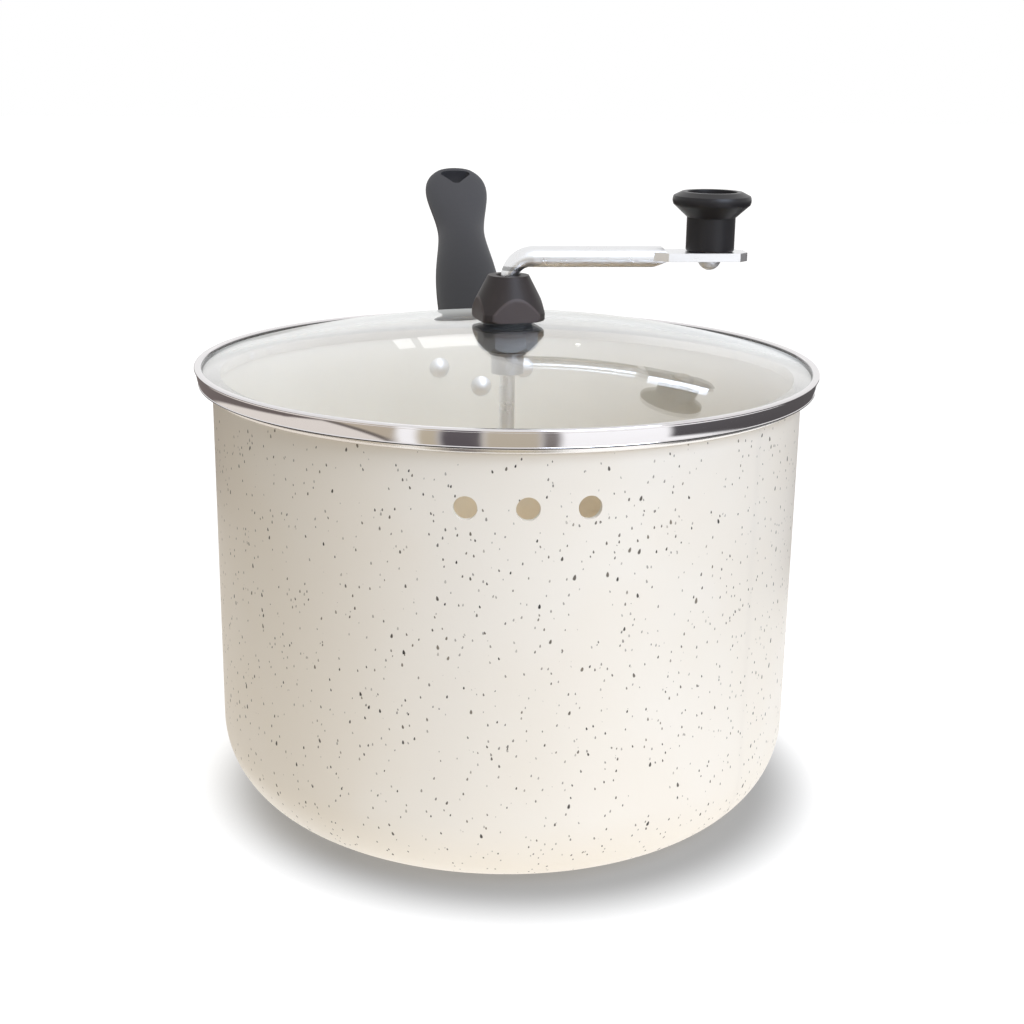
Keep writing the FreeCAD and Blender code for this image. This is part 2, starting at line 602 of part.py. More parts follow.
def lower_gasket():
    blank = ring(LOWER_GASKET_RADIUS, BUSH_RADIUS, LOWER_GASKET_BOTTOM, 2 * GASKET_THICKNESS)
    return blank.common(dome_solid(GLASS_UNDER_CROWN - GASKET_FIT, DOME_INNER_RADIUS))


def dome_solid(crown, sphere_radius):
    """Ball whose top is a dome surface of the lid."""
    return Part.makeSphere(sphere_radius, V(0, 0, crown - sphere_radius))


def knob_bush():
    """Hollow threaded stud: it clamps the glass and carries the crank shaft."""
    return ring(BUSH_RADIUS, BUSH_BORE, BUSH_BOTTOM, KNOB_BOTTOM + BUSH_IN_KNOB - BUSH_BOTTOM)


def lid_washer():
    return ring(WASHER_RADIUS, BUSH_RADIUS, WASHER_BOTTOM, WASHER_THICKNESS)


def lid_nut():
    sides = 6
    corner_radius = NUT_ACROSS_FLATS / 2 / cos(pi / sides)
    corners = [V(corner_radius * cos(2 * pi * k / sides), corner_radius * sin(2 * pi * k / sides),
                 NUT_BOTTOM) for k in range(sides)]
    nut = Part.Face(Part.makePolygon(corners + [corners[0]])).extrude(UP * NUT_THICKNESS)
    bevel = corner_radius - NUT_ACROSS_FLATS / 2
    blank = turned([
        (BUSH_RADIUS, NUT_BOTTOM), (NUT_ACROSS_FLATS / 2, NUT_BOTTOM),
        (corner_radius, NUT_BOTTOM + bevel), (corner_radius, NUT_BOTTOM + NUT_THICKNESS),
        (BUSH_RADIUS, NUT_BOTTOM + NUT_THICKNESS),
    ])
    return one_solid(nut.common(blank))


# --- Crank -------------------------------------------------------------------------------------------
def crank_bend():
    """Bend that thickens from the shaft's radius to the arm's."""
    centre = V(BEND_RADIUS, 0, BEND_BOTTOM)
    sections = []
    steps = 6
    for k in range(steps + 1):
        share = k / steps
        angle = share * pi / 2
        place = centre + V(-cos(angle), 0, sin(angle)) * BEND_RADIUS
        heading = V(sin(angle), 0, cos(angle))
        radius = SHAFT_RADIUS + (ARM_RADIUS - SHAFT_RADIUS) * share
        sections.append(Part.Wire(Part.Circle(place, heading, radius).toShape()))
    return Part.makeLoft(sections, True, False)


def crank_tip():
    """Flattened end of the arm: in plan it widens from the bar, and its end corners are cut."""
    start = CRANK_REACH - TIP_FLAT_START
    end = CRANK_REACH + TIP_OVERHANG
    half = TIP_WIDTH / 2
    wire = outline_wire([
        (start - TIP_TAPER, -ARM_RADIUS), (start, -half), (end - TIP_CHAMFER, -half),
        (end, TIP_CHAMFER - half), (end, half - TIP_CHAMFER), (end - TIP_CHAMFER, half),
        (start, half), (start - TIP_TAPER, ARM_RADIUS),
    ], lambda p: V(p[0], p[1], TIP_BOTTOM))
    return Part.Face(wire).extrude(UP * TIP_THICKNESS)


def crank_rod():
    start = CRANK_REACH - TIP_FLAT_START
    shaft = cylinder(SHAFT_RADIUS, BEND_BOTTOM - SHAFT_BOTTOM, V(0, 0, SHAFT_BOTTOM))
    arm = cylinder(ARM_RADIUS, start - BEND_RADIUS, V(BEND_RADIUS, 0, ARM_CENTRE), V(1, 0, 0))
    low, high = ARM_CENTRE - 2 * ARM_RADIUS, ARM_CENTRE + 2 * ARM_RADIUS
    flat = start + TIP_TAPER / 5
    under = outline_wire([
        (start - TIP_TAPER, low), (start - TIP_TAPER, ARM_CENTRE - ARM_RADIUS),
        (flat, TIP_BOTTOM), (flat, low),
    ], lambda p: V(p[0], -TIP_WIDTH, p[1]))
    above = outline_wire([
        (flat, high), (flat, TIP_TOP), (start, TIP_TOP),
        (start - TIP_TAPER / 3, ARM_CENTRE + ARM_RADIUS), (start - TIP_TAPER / 3, high),
    ], lambda p: V(p[0], -TIP_WIDTH, p[1]))
    for wedge in (under, above):
        arm = arm.cut(Part.Face(wedge).extrude(V(0, 2 * TIP_WIDTH, 0)))
    rod = shaft.fuse(crank_bend()).fuse(arm).fuse(crank_tip())
    rod = rod.cut(cylinder(GRIP_RIVET_RADIUS, 2 * TIP_THICKNESS,
                           V(CRANK_REACH, 0, TIP_BOTTOM - TIP_THICKNESS / 2)))
    rod = rod.cut(hub_pin())
    return one_solid(rod.removeSplitter())


def thrust_washer():
    return ring(THRUST_WASHER_RADIUS, BUSH_BORE, COLLAR_TOP, THRUST_WASHER_THICKNESS)


def stop_collar():
    return one_solid(ring(COLLAR_RADIUS, SHAFT_RADIUS, COLLAR_BOTTOM, COLLAR_HEIGHT)
                     .cut(collar_screw()))


def collar_screw():
    """Grub screw that locks the collar on the shaft."""
    return cylinder(COLLAR_SCREW_RADIUS, COLLAR_RADIUS - SHAFT_RADIUS + COLLAR_SCREW_PROUD,
                    V(0, -SHAFT_RADIUS, (COLLAR_TOP + COLLAR_BOTTOM) / 2), V(0, -1, 0))


# --- Stirrer -----------------------------------------------------------------------------------------
def stirrer_blade(turn_deg):
    """Bowed strip from the hub outwards, standing on edge."""
    chord = BLADE_REACH - BLADE_ROOT
    arc_radius = (chord ** 2 / 4 + BLADE_BOW ** 2) / (2 * BLADE_BOW)
    centre = (BLADE_ROOT + chord / 2, arc_radius - BLADE_BOW)
    half_turn = atan2(chord / 2, arc_radius - BLADE_BOW)

    def on_arc(radius, angle):
        return (centre[0] + radius * sin(angle), centre[1] - radius * cos(angle))

    near, far = arc_radius - BLADE_THICKNESS / 2, arc_radius + BLADE_THICKNESS / 2
    wire = outline_wire([
        on_arc(near, -half_turn),
        (on_arc(near, 0), on_arc(near, half_turn)),
        on_arc(far, half_turn),
        (on_arc(far, 0), on_arc(far, -half_turn)),
    ], lambda p: V(p[0], p[1], HUB_BOTTOM))
    blade = Part.Face(wire).extrude(UP * BLADE_HEIGHT)
    blade.rotate(V(0, 0, 0), UP, turn_deg)
    return blade


def stirrer_hub():
    hub = turned([
        (0, HUB_BOTTOM), (HUB_RADIUS - HUB_ROUND, HUB_BOTTOM),
        (quarter_mid((HUB_RADIUS - HUB_ROUND, HUB_BOTTOM + HUB_ROUND), HUB_ROUND, -45),
         (HUB_RADIUS, HUB_BOTTOM + HUB_ROUND)),
        (HUB_RADIUS, HUB_TOP - HUB_ROUND),
        (quarter_mid((HUB_RADIUS - HUB_ROUND, HUB_TOP - HUB_ROUND), HUB_ROUND, 45),
         (HUB_RADIUS - HUB_ROUND, HUB_TOP)),
        (0, HUB_TOP),
    ])
    hub = hub.cut(cylinder(SHAFT_RADIUS, HUB_HEIGHT, V(0, 0, SHAFT_BOTTOM)))
    for turn in (0, 180):
        hub = hub.cut(stirrer_blade(turn))
    return one_solid(hub.cut(hub_pin()))


def hub_pin():
    length = 2 * (HUB_RADIUS + HUB_PIN_PROUD)
    return cylinder(HUB_PIN_RADIUS, length, V(0, -length / 2, HUB_TOP - HUB_PIN_DROP), V(0, 1, 0))


# --- Grip --------------------------------------------------------------------------------------------
def at_grip(shape):
    shape.translate(V(CRANK_REACH, 0, 0))
    return shape


def crank_grip():
    bore = GRIP_RIVET_RADIUS + RUNNING_CLEARANCE
    cone_bottom = GRIP_BOTTOM + GRIP_NECK_HEIGHT
    rim_bottom = cone_bottom + GRIP_CONE_HEIGHT
    rim_top = rim_bottom + GRIP_RIM_HEIGHT
    edge = GRIP_FLANGE_RADIUS - GRIP_FOOT_ROUND / 2
    foot = (GRIP_NECK_RADIUS - GRIP_FOOT_ROUND, GRIP_BOTTOM + GRIP_FOOT_ROUND)
    return at_grip(turned([
        (bore, GRIP_BOTTOM),
        (foot[0], GRIP_BOTTOM),
        (quarter_mid(foot, GRIP_FOOT_ROUND, -45), (GRIP_NECK_RADIUS, foot[1])),
        (GRIP_NECK_RADIUS, cone_bottom),
        (edge, rim_bottom),
        ((GRIP_FLANGE_RADIUS, (rim_bottom + rim_top) / 2), (edge, rim_top)),
        (GRIP_FLANGE_RADIUS - GRIP_BEVEL_WIDTH, GRIP_TOP),
        (GRIP_DISH_RADIUS, GRIP_TOP),
        (GRIP_DISH_RADIUS, GRIP_DISH_FLOOR),
        (bore, GRIP_DISH_FLOOR),
    ]))


def cap_middle(radius, rise):
    """Middle of a round cap's outline: its distance from the axis and its drop from the top."""
    ball = (radius ** 2 + rise ** 2) / (2 * rise)
    half_turn = asin(radius / ball) / 2
    return ball * sin(half_turn), ball * (1 - cos(half_turn))


def grip_rivet():
    """Shouldered rivet: domed head under the arm, shank through the grip, peened in its dish."""
    head_bottom = TIP_BOTTOM - GRIP_RIVET_HEAD_HEIGHT
    head_middle = cap_middle(GRIP_RIVET_HEAD_RADIUS, GRIP_RIVET_HEAD_HEIGHT)
    washer_top = GRIP_DISH_FLOOR + AXIAL_GAP + GRIP_WASHER_THICKNESS
    peen_top = washer_top + GRIP_RIVET_PEEN_HEIGHT
    peen_middle = cap_middle(GRIP_RIVET_PEEN_RADIUS, GRIP_RIVET_PEEN_HEIGHT)
    return at_grip(turned([
        (0, head_bottom),
        ((head_middle[0], head_bottom + head_middle[1]), (GRIP_RIVET_HEAD_RADIUS, TIP_BOTTOM)),
        (GRIP_RIVET_RADIUS, TIP_BOTTOM),
        (GRIP_RIVET_RADIUS, washer_top),
        (GRIP_RIVET_PEEN_RADIUS, washer_top),
        ((peen_middle[0], peen_top - peen_middle[1]), (0, peen_top)),
    ]))


def grip_washer():
    return at_grip(ring(GRIP_WASHER_RADIUS, GRIP_RIVET_RADIUS, GRIP_DISH_FLOOR + AXIAL_GAP,
                        GRIP_WASHER_THICKNESS))


NODES = {
    "pot_shell": pot_shell,
    "handle_bracket": handle_bracket,
    "bracket_rivets": bracket_rivets,
    "bracket_stud": bracket_stud,
    "flame_guard": flame_guard,
    "long_handle": long_handle,
    "handle_screw": handle_screw,
    "lid_glass": lid_glass,
    "lid_rim_band": lid_rim_band,
    "knob_gasket": knob_gasket,
    "lid_knob": lid_knob,
    "knob_bush": knob_bush,
    "lower_gasket": lower_gasket,
    "lid_washer": lid_washer,
    "lid_nut": lid_nut,
    "crank_rod": crank_rod,
    "thrust_washer": thrust_washer,
    "stop_collar": stop_collar,
    "collar_screw": collar_screw,
    "stirrer_hub": stirrer_hub,
    "stirrer_blade_front": lambda: stirrer_blade(0),
    "stirrer_blade_back": lambda: stirrer_blade(180),
    "hub_pin": hub_pin,
    "grip_rivet": grip_rivet,
    "grip_washer": grip_washer,
    "crank_grip": crank_grip,
}

os.makedirs("parts", exist_ok=True)
for name, make in NODES.items():
    shape = make()
    shape.exportStep(os.path.join("parts", name + ".step"))
    box = shape.optimalBoundingBox(False)
    print(f"{name:22s} solids {len(shape.Solids)} valid {shape.isValid()} volume {shape.Volume:10.1f}"
          f"  x {box.XMin:7.1f} {box.XMax:7.1f}  y {box.YMin:7.1f} {box.YMax:7.1f}"
          f"  z {box.ZMin:6.1f} {box.ZMax:6.1f}")
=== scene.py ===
"""Stovetop popcorn popper: finishes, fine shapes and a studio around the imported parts.

Laid out as an add-on: sizes and colours are properties, each group of pieces is an operator,
and main() runs the operators in order.  All lengths are metres in the frame of the solids:
+Z up, the long handle along +Y, the crank arm along +X, the pot's underside at zero.
"""

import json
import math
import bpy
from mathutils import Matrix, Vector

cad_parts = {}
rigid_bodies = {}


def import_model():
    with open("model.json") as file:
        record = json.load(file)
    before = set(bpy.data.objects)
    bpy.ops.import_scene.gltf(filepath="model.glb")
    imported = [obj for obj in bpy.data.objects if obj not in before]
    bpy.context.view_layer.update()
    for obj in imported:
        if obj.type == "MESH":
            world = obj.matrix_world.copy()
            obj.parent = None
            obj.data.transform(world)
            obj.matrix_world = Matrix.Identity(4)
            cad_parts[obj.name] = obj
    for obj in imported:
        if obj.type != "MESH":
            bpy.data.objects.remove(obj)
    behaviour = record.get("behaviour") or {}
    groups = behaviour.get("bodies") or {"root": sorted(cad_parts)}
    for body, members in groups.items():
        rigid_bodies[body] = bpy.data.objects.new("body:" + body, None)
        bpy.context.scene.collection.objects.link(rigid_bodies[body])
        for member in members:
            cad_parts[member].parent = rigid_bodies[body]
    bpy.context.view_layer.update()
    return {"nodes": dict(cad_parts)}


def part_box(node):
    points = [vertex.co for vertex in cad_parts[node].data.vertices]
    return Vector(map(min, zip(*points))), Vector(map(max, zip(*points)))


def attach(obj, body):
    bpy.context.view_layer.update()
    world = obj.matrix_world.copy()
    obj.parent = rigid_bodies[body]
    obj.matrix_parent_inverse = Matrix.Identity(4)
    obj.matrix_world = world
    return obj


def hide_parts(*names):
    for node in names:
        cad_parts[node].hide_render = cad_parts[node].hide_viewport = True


bl_info = {
    "name": "Stovetop Popcorn Popper",
    "version": (1, 0, 0),
    "blender": (4, 5, 0),
    "location": "View3D > Sidebar > Popper",
    "description": "Dresses the packed popcorn popper and sets up its studio",
    "category": "Object",
}

import bpy
from bpy.props import FloatProperty, FloatVectorProperty, IntProperty, PointerProperty
from mathutils import Matrix, Vector

for leftover in list(bpy.data.objects):
    bpy.data.objects.remove(leftover)
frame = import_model()

MM = 0.001
FULL_TURN = 2 * math.pi


def srgb(*levels):
    """Linear colour from 0-255 display levels."""
    steps = [level / 255 for level in levels]
    return tuple(s / 12.92 if s <= 0.04045 else ((s + 0.055) / 1.055) ** 2.4 for s in steps)


def scaled(tint, *ratios):
    """The colour times one ratio, or times one for each of its levels."""
    return tuple(level * ratio for level, ratio in zip(tint, ratios * (3 // len(ratios))))


# --- Sizes and colours a user would change ---
def length(name, millimetres, description):
    return FloatProperty(name=name, default=millimetres * MM, min=0, precision=5,
                         subtype="DISTANCE", unit="LENGTH", description=description)


def angle(name, turn_deg, description):
    return FloatProperty(name=name, default=math.radians(turn_deg), subtype="ANGLE",
                         unit="ROTATION", description=description)


def share(name, part, description):
    return FloatProperty(name=name, default=part, min=0, max=1, subtype="FACTOR",
                         description=description)


def colour(name, levels, description):
    return FloatVectorProperty(name=name, default=srgb(*levels), size=3, min=0, max=1,
                               subtype="COLOR", description=description)


def count(name, number, description):
    return IntProperty(name=name, default=number, min=1, description=description)


class PopperPotSizes(bpy.types.PropertyGroup):
    wall: length("Wall", 2.0, "Thickness of the pot's wall")
    floor: length("Floor", 2.5, "Thickness of the pot's floor")
    corner: length("Corner", 33.0, "Outside radius between floor and wall")
    bead: length("Rim bead", 1.7, "Radius of the rolled bead round the mouth")
    bead_offset: length("Bead offset", 0.34, "How far the bead's centre stands outside the wall")
    mouth_round: length("Mouth round", 1.2, "Rounding of the mouth's inner edge")
    bare_rim: length("Bare rim", 3.3, "Height of the uncoated metal below the rim's top")
    vents: count("Vents", 3, "How many steam vents the row has")
    vent_radius: length("Vent radius", 4.0, "Radius of each steam vent")
    vent_drop: length("Vent drop", 21.8, "From the rim's top down to the vents' centres")
    vent_pitch: angle("Vent pitch", 10.5, "Turn from one vent to the next")
    vent_offset: angle("Vent offset", -2.4, "Where the middle of the row is, from the front")
    steps: count("Steps", 360, "Steps in a turned piece")


class PopperSpeckleSizes(bpy.types.PropertyGroup):
    spacing: length("Spacing", 3.7, "Usual distance between specks")
    smallest: length("Smallest", 0.3, "Radius of the smallest specks")
    largest: length("Largest", 0.62, "Radius of the rarest, largest specks")
    stretch: FloatProperty(name="Stretch", default=1.9, min=1,
                           description="How much taller than wide a speck is")
    lean: angle("Lean", 20.0, "Most that a speck leans from upright")
    depth: length("Depth", 1.2, "How far a speck reaches into the coating's pattern")
    kept: share("Kept", 0.35, "Share of the places that hold a speck")


class PopperLidSizes(bpy.types.PropertyGroup):
    glass: length("Glass", 3.0, "Thickness of the glass")
    rise: length("Rise", 16.2, "Height of the glass dome over its edge")
    bore: length("Bore", 5.15, "Radius of the hole through the glass")
    sheet: length("Sheet", 0.7, "Thickness of the band's sheet")
    lip: length("Lip", 2.8, "How far the rolled lip laps over the glass")
    lip_height: length("Lip height", 1.5, "Top of the lip over the glass")
    lip_roll: length("Lip roll", 1.0, "Radius of the lip's inner edge")
    low_roll: length("Bottom roll", 0.45, "Radius of the band's bottom roll")
    crown_roll: length("Top roll", 0.65, "Radius of the band's top roll")
    wall_sink: length("Wall sink", 0.55, "How far the wall's top stands inside the top roll")
    foot_inset: length("Foot inset", 1.3, "How far the bottom roll stands inside the top roll")
    wall_bow: length("Wall bow", 0.15, "How far the wall bulges between the rolls")
    hang: length("Hang", 1.1, "Foot of the wall below the seat on the pot's rim")
    skirt: length("Skirt", 3.0, "Depth of the skirt inside the pot")
    skirt_radius: length("Skirt radius", 109.2, "Outside radius of the skirt")


class PopperKnobSizes(bpy.types.PropertyGroup):
    base: length("Base", 15.0, "Radius of the lid knob's base before its flats")
    top: length("Top", 7.8, "Radius of the lid knob's top")
    skirt: length("Skirt", 3.0, "Height of the upright part at the base")
    bevel: length("Bevel", 0.8, "Bevel round the underside")
    dish: length("Dish", 4.9, "Radius of the funnel in the top")
    dish_depth: length("Dish depth", 2.5, "Depth of the funnel in the top")
    bore: length("Bore", 3.3, "Radius of the hole for the shaft")
    socket: length("Socket", 4.75, "Radius of the socket for the bush")
    socket_depth: length("Socket depth", 11.0, "Depth of the socket for the bush")
    flats: count("Flats", 4, "Flats round the lid knob")
    flat_distance: length("Flat distance", 12.15, "From the axis to each flat")
    flat_turn: angle("Flat turn", 9.5, "Turn of the flats from straight ahead")
    soft: length("Softness", 0.28, "Rounding of the edges round the flats")


class PopperGripSizes(bpy.types.PropertyGroup):
    neck: length("Neck", 9.25, "Radius of the crank grip's neck")
    flange: length("Flange", 14.95, "Radius of the flange at the top")
    neck_height: length("Neck height", 12.7, "Height of the neck")
    cone_height: length("Cone height", 4.8, "Height of the cone under the flange")
    rim_height: length("Rim height", 3.3, "Height of the flange's rounded edge")
    bevel: length("Bevel", 3.4, "Width of the flat ring inside the bevel")
    dish: length("Dish", 9.5, "Radius of the dish in the top")
    dish_depth: length("Dish depth", 7.4, "Depth of the dish in the top")
    bore: length("Bore", 2.55, "Radius of the bore for the rivet")
    round: length("Round", 0.8, "Rounding of the grip's edges")
    steps: count("Steps", 160, "Steps round the grip")


class PopperColours(bpy.types.PropertyGroup):
    coating: colour("Coating", (236, 228, 216), "Outside of the pot")
    inside: colour("Inside", (217, 211, 197), "Inside of the pot")
    speck: colour("Speck", (44, 41, 38), "Darkest specks")
    pale_speck: colour("Pale speck", (128, 118, 104), "Palest specks")
    spun: colour("Spun aluminium", (245, 241, 236), "Bare rim and underside of the pot")
    cast: colour("Cast aluminium", (178, 178, 181), "Handle bracket")
    bright: colour("Bright aluminium", (240, 240, 241), "Crank and rivets")
    steel: colour("Steel", (200, 200, 202), "Nuts, washers, screws and stirrer")
    chrome: colour("Polished steel", (226, 223, 224), "Lid band")
    brass: colour("Brass", (214, 186, 122), "Bush in the lid knob")
    handle: colour("Handle", (36, 36, 39), "Long handle")
    knob: colour("Lid knob", (47, 41, 40), "Lid knob")
    grip: colour("Crank grip", (36, 34, 35), "Crank grip")
    fitting: colour("Lid fittings", (148, 151, 153), "Moulded nut and washer under the lid")
    rubber: colour("Gaskets", (58, 60, 62), "Gaskets")
    glass: colour("Glass", (250, 250, 249), "Lid glass")
    floor: colour("Floor", (120, 120, 120), "Studio floor")


GROUPS = {
    "popper_pot": PopperPotSizes, "popper_speckle": PopperSpeckleSizes,
    "popper_lid": PopperLidSizes, "popper_knob": PopperKnobSizes,
    "popper_grip": PopperGripSizes, "popper_colours": PopperColours,
}


# --- Node trees written as expressions ---
def math_method(operation, swapped=False):
    """Method that adds a Math node; swapped puts its own socket last."""
    def apply(value, *others):
        operands = (*others, value) if swapped else (value, *others)
        return value.tree.node("ShaderNodeMath", dict(enumerate(operands)),
                               operation=operation)[0]
    return apply


class Value:
    """A socket in a node tree; Python's operators on it add Math nodes."""

    def __init__(self, tree, socket):
        self.tree, self.socket = tree, socket

    __add__, __radd__ = math_method("ADD"), math_method("ADD", swapped=True)
    __sub__, __rsub__ = math_method("SUBTRACT"), math_method("SUBTRACT", swapped=True)
    __truediv__, __rtruediv__ = math_method("DIVIDE"), math_method("DIVIDE", swapped=True)
    __mul__, __pow__ = math_method("MULTIPLY"), math_method("POWER")
    __gt__, __lt__ = math_method("GREATER_THAN"), math_method("LESS_THAN")
    at_least, root = math_method("MAXIMUM"), math_method("SQRT")
    sine, cosine = math_method("SINE"), math_method("COSINE")
    whole, nearest = math_method("FLOOR"), math_method("ROUND")
    left_over = math_method("FLOORED_MODULO")
    turn_to = math_method("ARCTAN2")  # angle of the point (other, self)

    def __neg__(self):
        return self * -1.0

    def smooth_step(self, low, high):
        """0 below low, 1 above high, eased between."""
        return self.tree.node("ShaderNodeMapRange",
                              {"Value": self, "From Min": low, "From Max": high},
                              interpolation_type="SMOOTHSTEP")[0]


class Node:
    """A node whose outputs are read by name or number."""

    def __init__(self, tree, node):
        self.tree, self.node = tree, node

    def __getitem__(self, output):
        return Value(self.tree, self.node.outputs[output])


class Tree:
    """A node tree that nodes are added to with their settings and their sockets' values."""

    def __init__(self, node_tree):
        self.node_tree = node_tree

    def node(self, kind, sockets=None, **settings):
        node = self.node_tree.nodes.new(kind)
        for key, setting in settings.items():
            setattr(node, key, setting)
        for key, given in (sockets or {}).items():
            self.feed(node.inputs[key], given)
        return Node(self, node)

    def feed(self, socket, given):
        if isinstance(given, Value):
            self.node_tree.links.new(given.socket, socket)
        elif socket.type == "RGBA" and len(given) == 3:
            socket.default_value = (*given, 1)
        else:
            socket.default_value = given

    def vector(self, operation, *operands):
        """Vector Math on vectors; scale is the last operand of SCALE."""
        sockets = dict(enumerate(operands))
        if operation == "SCALE":
            sockets = {0: operands[0], "Scale": operands[1]}
        made = self.node("ShaderNodeVectorMath", sockets, operation=operation)
        return made["Value"] if operation == "DOT_PRODUCT" else made[0]

    def parts(self, vector):
        split = self.node("ShaderNodeSeparateXYZ", {0: vector})
        return split["X"], split["Y"], split["Z"]

    def join(self, x, y, z):
        return self.node("ShaderNodeCombineXYZ", {0: x, 1: y, 2: z})[0]

    def fade(self, mask, first, second):
        """Colour that goes from first to second with mask."""
        return self.node("ShaderNodeMix", {"Factor": mask, 6: first, 7: second},
                         data_type="RGBA", clamp_factor=True)[2]


def nearest_flat(x, y, start, flats):
    """Direction of the flat that (x, y) is nearest to; start is the direction of one of them."""
    step = FULL_TURN / flats
    return ((y.turn_to(x) - start) / step).nearest() * step + start


class Finish(Tree):
    """One material."""

    def __init__(self, name):
        self.material = bpy.data.materials.new(name)
        self.material.use_nodes = True
        super().__init__(self.material.node_tree)
        self.node_tree.nodes.clear()
        here = self.node("ShaderNodeTexCoord")["Object"]
        self.place = self.vector("SCALE", here, 1 / MM)
        self.x, self.y, self.z = self.parts(self.place)

    def from_axis(self, along=0.0):
        """Distance in millimetres from a vertical axis that stands along +X."""
        x = self.x - along / MM if along else self.x
        return (x * x + self.y * self.y).root()

    def noise(self, scale, vector=None, detail=2.0, roughness=0.5):
        """Noise with scale features to a millimetre, from about 0 to 1."""
        return self.node("ShaderNodeTexNoise",
                         {"Vector": vector or self.place, "Scale": scale, "Detail": detail,
                          "Roughness": roughness})["Fac"]

    def turned_marks(self, fineness):
        """Lines left round a turned piece, finer with a larger number."""
        return self.noise(fineness, self.join(self.from_axis(), self.z, 0.0), detail=3.0,
                          roughness=0.65)

    def bump(self, height, depth, strength):
        """Normal from a height of 0 to 1; depth is in millimetres."""
        return self.node("ShaderNodeBump",
                         {"Height": height, "Distance": depth * MM, "Strength": strength})[0]

    def blend(self, mask, first, second):
        """Shader that goes from first to second with mask."""
        return self.node("ShaderNodeMixShader", {0: mask, 1: first, 2: second})[0]

    def surface(self, **sockets):
        """Principled shader; keyword names stand for its sockets."""
        named = {key.replace("_", " "): given for key, given in sockets.items()}
        return self.node("ShaderNodeBsdfPrincipled", named)[0]

    def done(self, shader):
        self.node("ShaderNodeOutputMaterial", {"Surface": shader})
        return self.material


FINISHES = {}


def finish(name):
    """The named finish, made once."""
    if name not in FINISHES:
        FINISHES[name] = FINISH_MAKERS[name](Finish(name), bpy.context.scene)
    return FINISHES[name]


# --- Finishes ---
# Where on the pieces the finishes change and where shade and light are painted, in millimetres.
DEEP_INSIDE = (86.0, 112.0)  # painted shade deep in the pot (darker, warmer) fades between these heights
HANDLE_LIT_STRETCH = (150.0, 270.0)  # stretch of the handle over which painted light makes it lighter
RIM_SOFT = 0.15  # half the width over which the coating fades out at the bare rim
BARE_UP_TO, BARE_INSET = 0.5, 1.0  # bare underside: its top, and its edge from the corner
ARM_DROP = 5.8  # arm's underside below the grip's foot, where its painted shade is
ARM_UNDERSIDE = 1.5  # lowest part of the arm that the painted shade on its underside takes
TIP_RISE, TIP_REACH = 2.5, 17.0  # painted shade under the flattened tip: over the arm's underside, before the grip
FOOT_SHADE = (0.4, 0.52)  # painted shade at the band's foot ends between these heights
LIP_EDGE_SHADE = (0.05, 0.25)  # painted shade along the lip's inner edge ends between these distances
# Pattern of the specks, and how the glass turns to a mirror at a glance.
SPECK_EDGE = (0.7, 1.1)  # where a speck fades out, in its own radii
SPECK_TAPER = 0.35  # how much narrower a speck's foot is than its head
CROWD_SCALE = 0.045  # patches to a millimetre in which specks crowd
VEIL_GLANCE = (0.8, 0.93)  # where its film turns from mirror to haze
FILM_GLANCES = ((0.5, 1.0, 0.3), (0.8, 0.95, 0.25))  # from, to and the film's share


def specks(f, size, facing, spacing, seed, biggest, kept):
    """Mask and tone of the leaning drops in one layer; facing is the surface's outward slope."""
    spot = f.vector("ADD", f.place, (seed, -seed, seed / 2))
    cells = f.node("ShaderNodeTexVoronoi",
                   {"Vector": spot, "Scale": MM / spacing, "Randomness": 1.0},
                   voronoi_dimensions="3D", feature="F1")
    away_x, away_y, away_z = f.parts(f.vector("SUBTRACT", spot, cells["Position"]))
    draw, lean_draw, tone = f.parts(cells["Color"])
    from_axis = f.from_axis()
    out_x, out_y = f.x / from_axis, f.y / from_axis
    out, down = facing
    sideways = away_y * out_x - away_x * out_y
    outwards = away_x * out_x + away_y * out_y
    climb = outwards * down + away_z * out
    lean = (lean_draw - 0.5) * (2 * size.lean)
    across = sideways * lean.cosine() - climb * lean.sine()
    upright = sideways * lean.sine() + climb * lean.cosine()
    radius = size.smallest / MM + draw ** 4 * ((biggest - size.smallest) / MM)
    tall = upright / (radius * size.stretch)
    wide = across / radius * (1.0 + tall * SPECK_TAPER)
    deep = (outwards * out - away_z * down) / (size.depth / MM)
    gap = (wide * wide + tall * tall + deep * deep).root()
    crowd = f.noise(CROWD_SCALE, spot, detail=1.0).smooth_step(0.3, 0.7) * 0.6 + 0.7
    lucky = (draw * 37.0 + lean_draw * 17.0).left_over(1.0) < crowd * kept
    return (1.0 - gap.smooth_step(*SPECK_EDGE)) * lucky, tone


